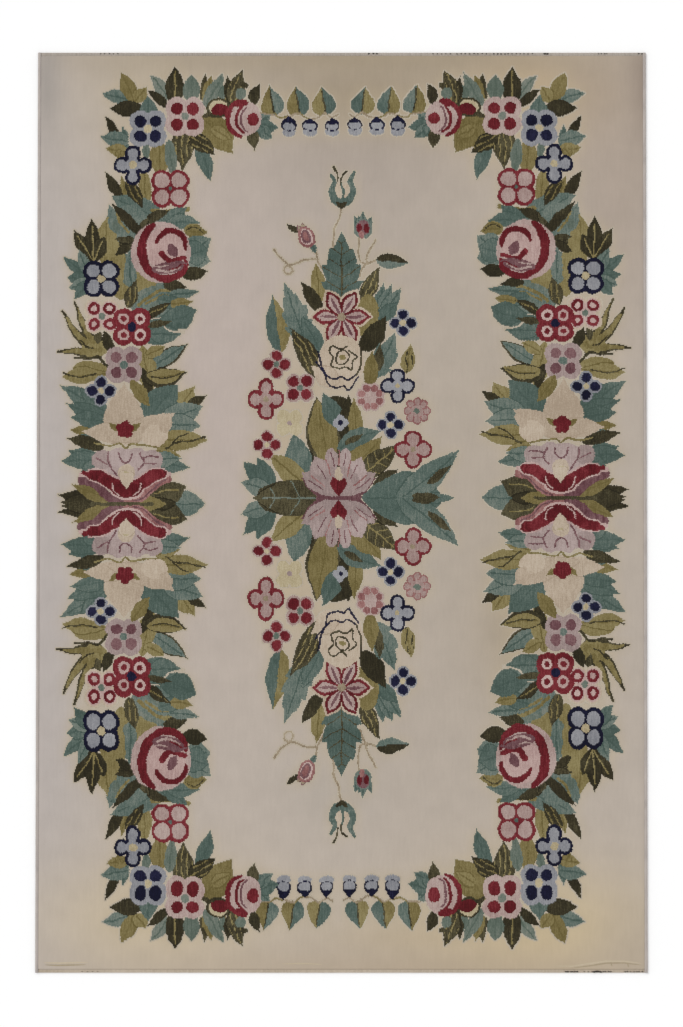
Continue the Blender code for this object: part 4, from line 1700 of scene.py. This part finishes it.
@dataclass
class EndWeb:
    """The flat-woven strip that ends the pile at one end, with its wefts beaten close.

    Attributes:
        name: The piece's name.
        end: +1 at the far end, -1 at the near end.
        pitch: From one weft to the next, in metres.
        ridge: How far a weft stands above the hollow beside it.
        cell: From one warp to the next.
        lift: How far the strip lies above the cloth's bare edge.
        margin: How far it stays inside the bare edge on both its sides.
        steps: Stations for each weft.
    """

    name: str
    end: float
    pitch: float = 0.0021
    ridge: float = 0.00040
    cell: float = 0.0030
    lift: float = 0.00010
    margin: float = 0.0002
    steps: int = 4

    def build(self) -> Object:
        """Build and dress the strip.

        Its height is the bare edge's, plus half the ridge times 1 + sin(2 pi inset / pitch),
        times 0.8 + 0.2 cos(pi k) over warp number k, which the wefts pass over or under.

        Returns:
            The piece.
        """
        stations = int(WEB_WIDTH / self.pitch) * self.steps + 1
        inset = np.linspace(self.margin, WEB_WIDTH - self.margin, stations)[:, None]
        y = self.end * (LENGTH / 2.0 - inset)
        columns = int(FAR_END_WIDTH / self.cell)
        share = np.linspace(-1.0, 1.0, columns + 1)[None, :]
        x = middle_at(y) + share * (width_at(y) / 2.0 - SIDE_CORD_WIDTH)
        warps = 0.8 + 0.2 * np.cos(np.pi * np.arange(columns + 1))[None, :]
        wefts = 0.5 * self.ridge * (1.0 + np.sin(2.0 * np.pi * inset / self.pitch))
        z = WEB_THICKNESS + swell_at(x, y) + self.lift + wefts * warps
        places = np.stack([x, np.broadcast_to(y, x.shape), z], axis=-1).reshape(-1, 3)
        number = np.arange(len(places)).reshape(stations, columns + 1)
        quads = grid_quads(number)
        if self.end > 0:
            quads = quads[:, ::-1]
        mesh = mesh_from_faces(self.name, places, quads)
        spots = places[quads.ravel()]
        across = spots[:, 0] / NEAR_END_WIDTH + 0.5
        along = (LENGTH / 2.0 - np.abs(spots[:, 1])) / WEB_WIDTH
        put_uv(mesh, np.stack([across, 0.1 + 0.8 * along], axis=-1))
        generator = np.random.default_rng(CHART_SEED + 40)
        put_values(mesh, "tint", "FACE", generator.uniform(0.3, 0.7, len(quads)))
        return show_piece(self.name, mesh, WEB_WOOLS[self.end].material())


# The wefts of the two ends: soiled grey-brown at the far end, paler at the near end.
WEB_WOOLS: dict[float, DyedWool] = {
    1.0: DyedWool("soiled_wool_weft", "#a59c93", "#b2a99f", "#8f877d", 0.0003),
    -1.0: DyedWool("bleached_wool_weft", "#b6a896", "#c2b5a4", "#a39583", 0.0003),
}


@dataclass(frozen=True)
class KnottedStretch:
    """A stretch of an end where warps were cut and knotted, in columns of the chart.

    Attributes:
        end: +1 at the far end, -1 at the near end.
        first: The column where the knots start.
        last: The column where they stop.
        count: How many knots there are.
        size: The length of a knot along the edge, in metres.
    """

    end: float
    first: float
    last: float
    count: int
    size: float


# Where dark warp knots show, by end, first and last column, number of knots and knot length.
KNOTTED: tuple[KnottedStretch, ...] = tuple(
    KnottedStretch(*row)
    for row in (
        (1.0, 101, 118, 5, 0.0046),
        (1.0, 369, 377, 3, 0.0068),
        (1.0, 433, 450, 5, 0.0044),
        (1.0, 457, 486, 8, 0.0048),
        (1.0, 494, 505, 4, 0.0056),
        (1.0, 508, 532, 7, 0.0044),
        (1.0, 544, 547, 3, 0.0076),
        (1.0, 599, 607, 4, 0.0046),
        (1.0, 639, 644, 3, 0.0056),
        (-1.0, 82, 98, 4, 0.0038),
        (-1.0, 566, 577, 6, 0.0068),
        (-1.0, 584, 592, 3, 0.0048),
        (-1.0, 594, 600, 4, 0.0088),
        (-1.0, 603, 611, 4, 0.0062),
        (-1.0, 625, 642, 7, 0.0056),
    )
)


# Cut cotton warps, coloured dark brown, which show the eye as small dark beads along the edge.
KNOT_COTTON = DyedWool("dark_warp_knot_cotton", "#3c362f", "#574f45", "#241f1b", 0.0002)


@dataclass
class EndKnots:
    """The small dark knots of cut warps that show along both end edges.

    Attributes:
        around: Faces round a knot.
        rings: Faces from one pole of a knot to the other.
        inset: How far a knot's middle lies inside the edge, in metres.
        scatter: How much further in it may lie.
        corner: How far the knots stay from the rug's corners.
        lift: How far a knot's middle lies above the bare weave.
        half_breadth: Half its breadth, as a share of its length.
        half_height: Half its height, as a share of its length.
    """

    around: int = 8
    rings: int = 5
    inset: float = 0.0022
    scatter: float = 0.0012
    corner: float = 0.004
    lift: float = 0.0009
    half_breadth: float = 0.36
    half_height: float = 0.2

    def build(self) -> Object:
        """Build and dress the knots: each is a flattened ball, somewhat longer than wide.

        Returns:
            The piece.
        """
        generator = np.random.default_rng(CHART_SEED + 60)
        ends = np.concatenate([np.full(s.count, s.end) for s in KNOTTED])
        columns = np.concatenate([np.linspace(s.first, s.last, s.count) for s in KNOTTED])
        sizes = np.concatenate([np.full(s.count, s.size) for s in KNOTTED])
        columns = columns + generator.uniform(-0.5, 0.5, len(columns))
        middle_x = (columns - COLUMN_AT_MIDDLE) * KNOT
        reach = middle_at(0.0) + width_at(ends * LENGTH / 2.0) / 2.0 - self.corner
        middle_x = np.clip(middle_x, -reach, reach)
        insets = self.inset + generator.uniform(0.0, self.scatter, len(ends))
        middle_y = ends * (LENGTH / 2.0 - insets)
        ball, faces = self._ball()
        turn = generator.uniform(-0.5, 0.5, len(ends))[:, None]
        long = ball[None, :, 0] * sizes[:, None] * 0.5
        wide = ball[None, :, 1] * sizes[:, None] * self.half_breadth
        x = middle_x[:, None] + long * np.cos(turn) - wide * np.sin(turn)
        y = middle_y[:, None] + long * np.sin(turn) + wide * np.cos(turn)
        z = WEB_THICKNESS + self.lift + ball[None, :, 2] * sizes[:, None] * self.half_height
        places = np.stack([x, y, np.broadcast_to(z, x.shape)], axis=-1).reshape(-1, 3)
        step = len(ball) * np.arange(len(ends))[:, None, None]
        quads = (faces[None] + step).reshape(-1, 4)
        mesh = mesh_from_faces("end_knots", places, quads)
        order = np.repeat(np.arange(len(ends)), len(faces) * 4) / len(ends)
        around = np.tile(ball[faces.ravel(), 0] * 0.4 + 0.5, len(ends)) / len(ends)
        height = np.tile(ball[faces.ravel(), 2] * 0.4 + 0.5, len(ends))
        put_uv(mesh, np.stack([order + around, height], axis=-1))
        tints = np.repeat(generator.uniform(0.2, 0.8, len(ends)), len(faces))
        put_values(mesh, "tint", "FACE", tints)
        return show_piece("end_knots", mesh, KNOT_COTTON.material())

    def _ball(self) -> tuple[Array, Array]:
        """Return a unit ball's points and faces, its poles closed by small rings of faces."""
        slope = np.pi * (np.arange(self.rings + 1) / self.rings)[:, None]
        angle = 2.0 * np.pi * (np.arange(self.around) / self.around)[None, :]
        flat = np.maximum(np.sin(slope), 0.02)
        rings = [flat * np.cos(angle), flat * np.sin(angle), np.cos(slope) + 0.0 * angle]
        ball = np.stack(rings, axis=-1).reshape(-1, 3)
        return ball, tube_quads(np.arange(len(ball)).reshape(self.rings + 1, self.around))


@dataclass(frozen=True)
class Crease:
    """A low ridge where the pile has been folded, on a line of chart places.

    Attributes:
        wool: Its finish, painted shade for a fold or a painted highlight for a ridge.
        width: Its full width, in metres.
        points: The columns and rows that it runs through.
    """

    wool: DyedWool
    width: float
    points: tuple[tuple[float, float], ...]


# Folded wool: painted shade gives a brown line in a fold, a painted highlight a pale one on the ridge
# beside it.
FOLD_PAINTED_SHADE = DyedWool("painted_shade_in_fold_of_wool_pile", "#9f9179", "#aa9c85", "#8f8069")
RIDGE_PAINTED_HIGHLIGHT = DyedWool("painted_highlight_on_ridge_of_wool_pile", "#bbad95", "#c3b69f", "#b0a188")

# The creases near the near end's edge, in painted shade and painted highlight: columns and rows of the
# chart.
CREASES: tuple[Crease, ...] = (
    Crease(FOLD_PAINTED_SHADE, 0.0045, ((45, 964.5), (58, 965), (86, 964.3))),
    Crease(RIDGE_PAINTED_HIGHLIGHT, 0.0050, ((44, 962.4), (60, 962.8), (88, 962))),
    Crease(
        RIDGE_PAINTED_HIGHLIGHT,
        0.0050,
        ((556, 965.6), (572, 966), (588, 963.6), (606, 961), (624, 961), (641, 963)),
    ),
    Crease(
        FOLD_PAINTED_SHADE, 0.0040, ((574, 967.4), (590, 965.4), (606, 962.8), (624, 962.6), (640, 964.6))
    ),
    Crease(RIDGE_PAINTED_HIGHLIGHT, 0.0040, ((282, 963.6), (300, 963.2), (322, 964))),
    Crease(FOLD_PAINTED_SHADE, 0.0034, ((610, 961), (612, 966))),
    Crease(FOLD_PAINTED_SHADE, 0.0034, ((627, 962), (628.5, 967))),
)


@dataclass
class Creases:
    """The creases of the pile, in painted shade and painted highlight.

    Attributes:
        rise: How high a crease stands, in metres.
        lift: How far its sides lie above the ground's pile.
        step: From one station of a crease to the next.
        across: Faces across a crease.
    """

    rise: float = 0.00045
    lift: float = 0.00008
    step: float = 0.003
    across: int = 4

    def build(self) -> list[Object]:
        """Build and dress the creases, and return them, one piece for each."""
        return [self._piece(number, crease) for number, crease in enumerate(CREASES)]

    def _piece(self, number: int, crease: Crease) -> Object:
        """Build one crease: a strip whose height is the rise times cos(pi s / 2), s across it.

        The strip narrows to nothing at both ends as sin(pi t)^0.4, t along it.
        """
        columns, rows = np.array(crease.points, dtype=float).T
        points = np.stack([columns - COLUMN_AT_MIDDLE, ROW_AT_MIDDLE - rows], axis=-1) * KNOT
        run = np.concatenate([[0.0], np.cumsum(np.hypot(*np.diff(points, axis=0).T))])
        count = max(int(run[-1] / self.step), 4)
        along = np.linspace(0.0, run[-1], count + 1)
        line = np.stack([np.interp(along, run, points[:, axis]) for axis in (0, 1)], axis=-1)
        heading = np.gradient(line, axis=0)
        heading /= np.hypot(*heading.T)[:, None]
        normal = np.stack([-heading[:, 1], heading[:, 0]], axis=-1)
        share = np.linspace(-1.0, 1.0, self.across + 1)[None, :]
        taper = np.clip(np.sin(np.pi * along / run[-1]), 0.02, 1.0)[:, None] ** 0.4
        offset = share * taper * crease.width / 2.0
        x = line[:, :1] + normal[:, :1] * offset
        y = line[:, 1:] + normal[:, 1:] * offset
        rise = self.rise * np.cos(share * np.pi / 2.0) * taper + self.lift
        z = PILE_THICKNESS + swell_at(x, y) + rise
        places = np.stack([x, y, z], axis=-1).reshape(-1, 3)
        index = np.arange(len(places)).reshape(count + 1, self.across + 1)
        quads = np.stack([index[:-1, :-1], index[1:, :-1], index[1:, 1:], index[:-1, 1:]], axis=-1)
        quads = quads.reshape(-1, 4)
        name = f"crease_{number + 1}"
        mesh = mesh_from_faces(name, places, quads)
        stations, steps = np.divmod(quads.ravel(), self.across + 1)
        put_uv(mesh, np.stack([0.1 + 0.8 * steps / self.across, stations / count], axis=-1))
        put_values(mesh, "tint", "FACE", np.full(len(quads), 0.5))
        return show_piece(name, mesh, crease.wool.material())


# Greyed wool yarn, whose tight turns give the eye a dull, beaded rim along each side.
BINDING_WOOL = DyedWool("grey_wool_binding_yarn", "#afa6a0", "#b9b0a9", "#9f9792")


@dataclass
class BoundSide:
    """One long side, bound with yarn wrapped round its edge cord.

    Attributes:
        name: The CAD node that it replaces.
        side: -1 on the left, +1 on the right.
        wrap: The width of one turn of yarn, in metres.
        facets: Faces round the cord.
        steps: Stations along each turn of yarn.
        groove: How far the line between two turns is sunk, as a share of the height.
    """

    name: str
    side: float
    wrap: float = 0.0062
    facets: int = 12
    steps: int = 4
    groove: float = 0.13

    def build(self) -> Object:
        """Build and dress the bound side.

        The cord is an oval of angle a round Y. Its size is scaled by
        1 - groove * |cos(pi * turn)|^3, so turns of yarn bulge between grooves. The turn at a
        place is y / wrap, plus a slant of 0.45 a / pi and a wander of up to a quarter turn.
        The cord thins a little nine times along its length, and one face closes each end.

        Returns:
            The piece.
        """
        count = int(LENGTH / self.wrap) * self.steps
        y = np.linspace(-LENGTH / 2.0, LENGTH / 2.0, count + 1)[:, None]
        angle = np.linspace(0.0, 2.0 * np.pi, self.facets, endpoint=False)[None, :]
        slant = 0.45 * angle / np.pi
        turn = y / self.wrap + slant + 0.25 * np.sin(y * 21.0 + self.side)
        bulge = 1.0 - self.groove * np.abs(np.cos(np.pi * turn)) ** 3
        bulge = bulge * (1.0 - 0.02 * (1.0 + np.sin(2.0 * np.pi * 9.0 * y / LENGTH + self.side)))
        x = middle_at(y) + self.side * (width_at(y) - SIDE_CORD_WIDTH) / 2.0
        x = x + 0.5 * SIDE_CORD_WIDTH * bulge * np.cos(angle)
        z = 0.5 * SIDE_CORD_HEIGHT * (1.0 + np.sin(angle) * bulge)
        places = np.stack([x, np.broadcast_to(y, x.shape), z], axis=-1)
        number = np.arange((count + 1) * self.facets).reshape(count + 1, self.facets)
        caps = [number[0], number[-1][::-1]]
        mesh = mesh_from_faces(self.name, places.reshape(-1, 3), tube_quads(number), caps)
        self._map(mesh, count)
        put_values(mesh, "tint", "FACE", np.full(len(mesh.polygons), 0.5))
        piece = show_piece(f"{self.name}_yarn", mesh, BINDING_WOOL.material())
        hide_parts(self.name)
        return piece

    def _map(self, mesh: Mesh, count: int) -> None:
        """Unroll the cord on the map: round it is across, along it is up."""
        station, facet = np.divmod(np.arange(count * self.facets), self.facets)
        across = np.stack([facet, facet, facet + 1, facet + 1], axis=-1) / self.facets
        along = np.stack([station, station + 1, station + 1, station], axis=-1) / count
        spots = np.stack([0.02 + 0.90 * across, 0.01 + 0.98 * along], axis=-1).reshape(-1, 2)
        angle = np.linspace(0.0, 2.0 * np.pi, self.facets, endpoint=False)
        cap = np.stack([0.96 + 0.02 * np.cos(angle), 0.2 + 0.02 * np.sin(angle)], axis=-1)
        put_uv(mesh, np.vstack([spots, cap, cap[::-1] + (0.0, 0.3)]))


@dataclass
class Studio:
    """The pale floor, the soft light and the camera straight above the rug.

    Attributes:
        camera_height: The camera's height above the floor, in metres.
        sensor_height: The height of its sensor, in millimetres.
        floor_size: The side of the floor, in metres.
        floor_drop: How far the floor lies below the rug's flat back, in metres.
    """

    camera_height: float = 9.0
    sensor_height: float = 36.0
    floor_size: float = 40.0
    floor_drop: float = 0.0002

    def build(self) -> None:
        """Set up the floor, the lights and the camera."""
        self._floor()
        self._light()
        self._camera()

    def _floor(self) -> None:
        """Lay a floor of matt white paint, which the eye sees as one plain, pale field."""
        half = self.floor_size / 2.0
        places = np.array([(-half, -half, 0), (half, -half, 0), (half, half, 0), (-half, half, 0)])
        places = places - (0.0, 0.0, self.floor_drop)
        mesh = mesh_from_faces("studio_floor", places, np.array([[0, 1, 2, 3]]))
        material, _, shader = new_material("white_painted_studio_floor")
        shader.inputs["Base Color"].default_value = linear_color("#fdfdfd")
        shader.inputs["Roughness"].default_value = 0.9
        shader.inputs["Specular IOR Level"].default_value = 0.1
        mesh.materials.append(material)
        floor = bpy.data.objects.new("studio_floor", mesh)
        bpy.context.scene.collection.objects.link(floor)

    def _light(self) -> None:
        """Fill the room with even white light, and add one large soft lamp from the far left."""
        world = bpy.data.worlds.new("white_studio")
        world.use_nodes = True
        background = world.node_tree.nodes["Background"]
        background.inputs["Color"].default_value = (1.0, 1.0, 1.0, 1.0)
        background.inputs["Strength"].default_value = 0.80
        bpy.context.scene.world = world
        lamp = bpy.data.lights.new("soft_lamp", "SUN")
        lamp.angle = math.radians(24.0)
        lamp.energy = 1.0
        stand = bpy.data.objects.new("soft_lamp", lamp)
        stand.location = (-3.4, 3.0, 4.4)
        stand.rotation_euler = (-stand.location).to_track_quat("-Z", "Y").to_euler()
        bpy.context.scene.collection.objects.link(stand)
        bpy.context.scene.view_settings.view_transform = "Standard"

    def _camera(self) -> None:
        """Hang the camera straight above the frame's middle, with +Y up in the picture."""
        camera = bpy.data.cameras.new("camera")
        camera.sensor_fit = "VERTICAL"
        camera.sensor_height = self.sensor_height
        frame_height = PHOTO_HEIGHT * PHOTO_SCALE
        camera.lens = self.sensor_height * self.camera_height / frame_height
        camera.clip_end = 100.0
        holder = bpy.data.objects.new("camera", camera)
        holder.location = (*PHOTO_MIDDLE, self.camera_height)
        bpy.context.scene.collection.objects.link(holder)
        bpy.context.scene.camera = holder


def main() -> None:
    """Build the rug and its studio."""
    logging.basicConfig(level=logging.INFO, format="%(name)s %(message)s")
    Studio().build()
    chart = KnotChart()
    chart.draw()
    ground = GroundCloth(chart)
    cloth = ground.build()
    pile = YarnPile(chart).build()
    pile.append(EndWeb("far_end_web", 1.0).build())
    pile.append(EndWeb("near_end_web", -1.0).build())
    pile.append(EndKnots().build())
    pile.extend(Creases().build())
    for name, side in (("bound_side_left", -1.0), ("bound_side_right", 1.0)):
        BoundSide(name, side).build()


if __name__ == "__main__":
    main()
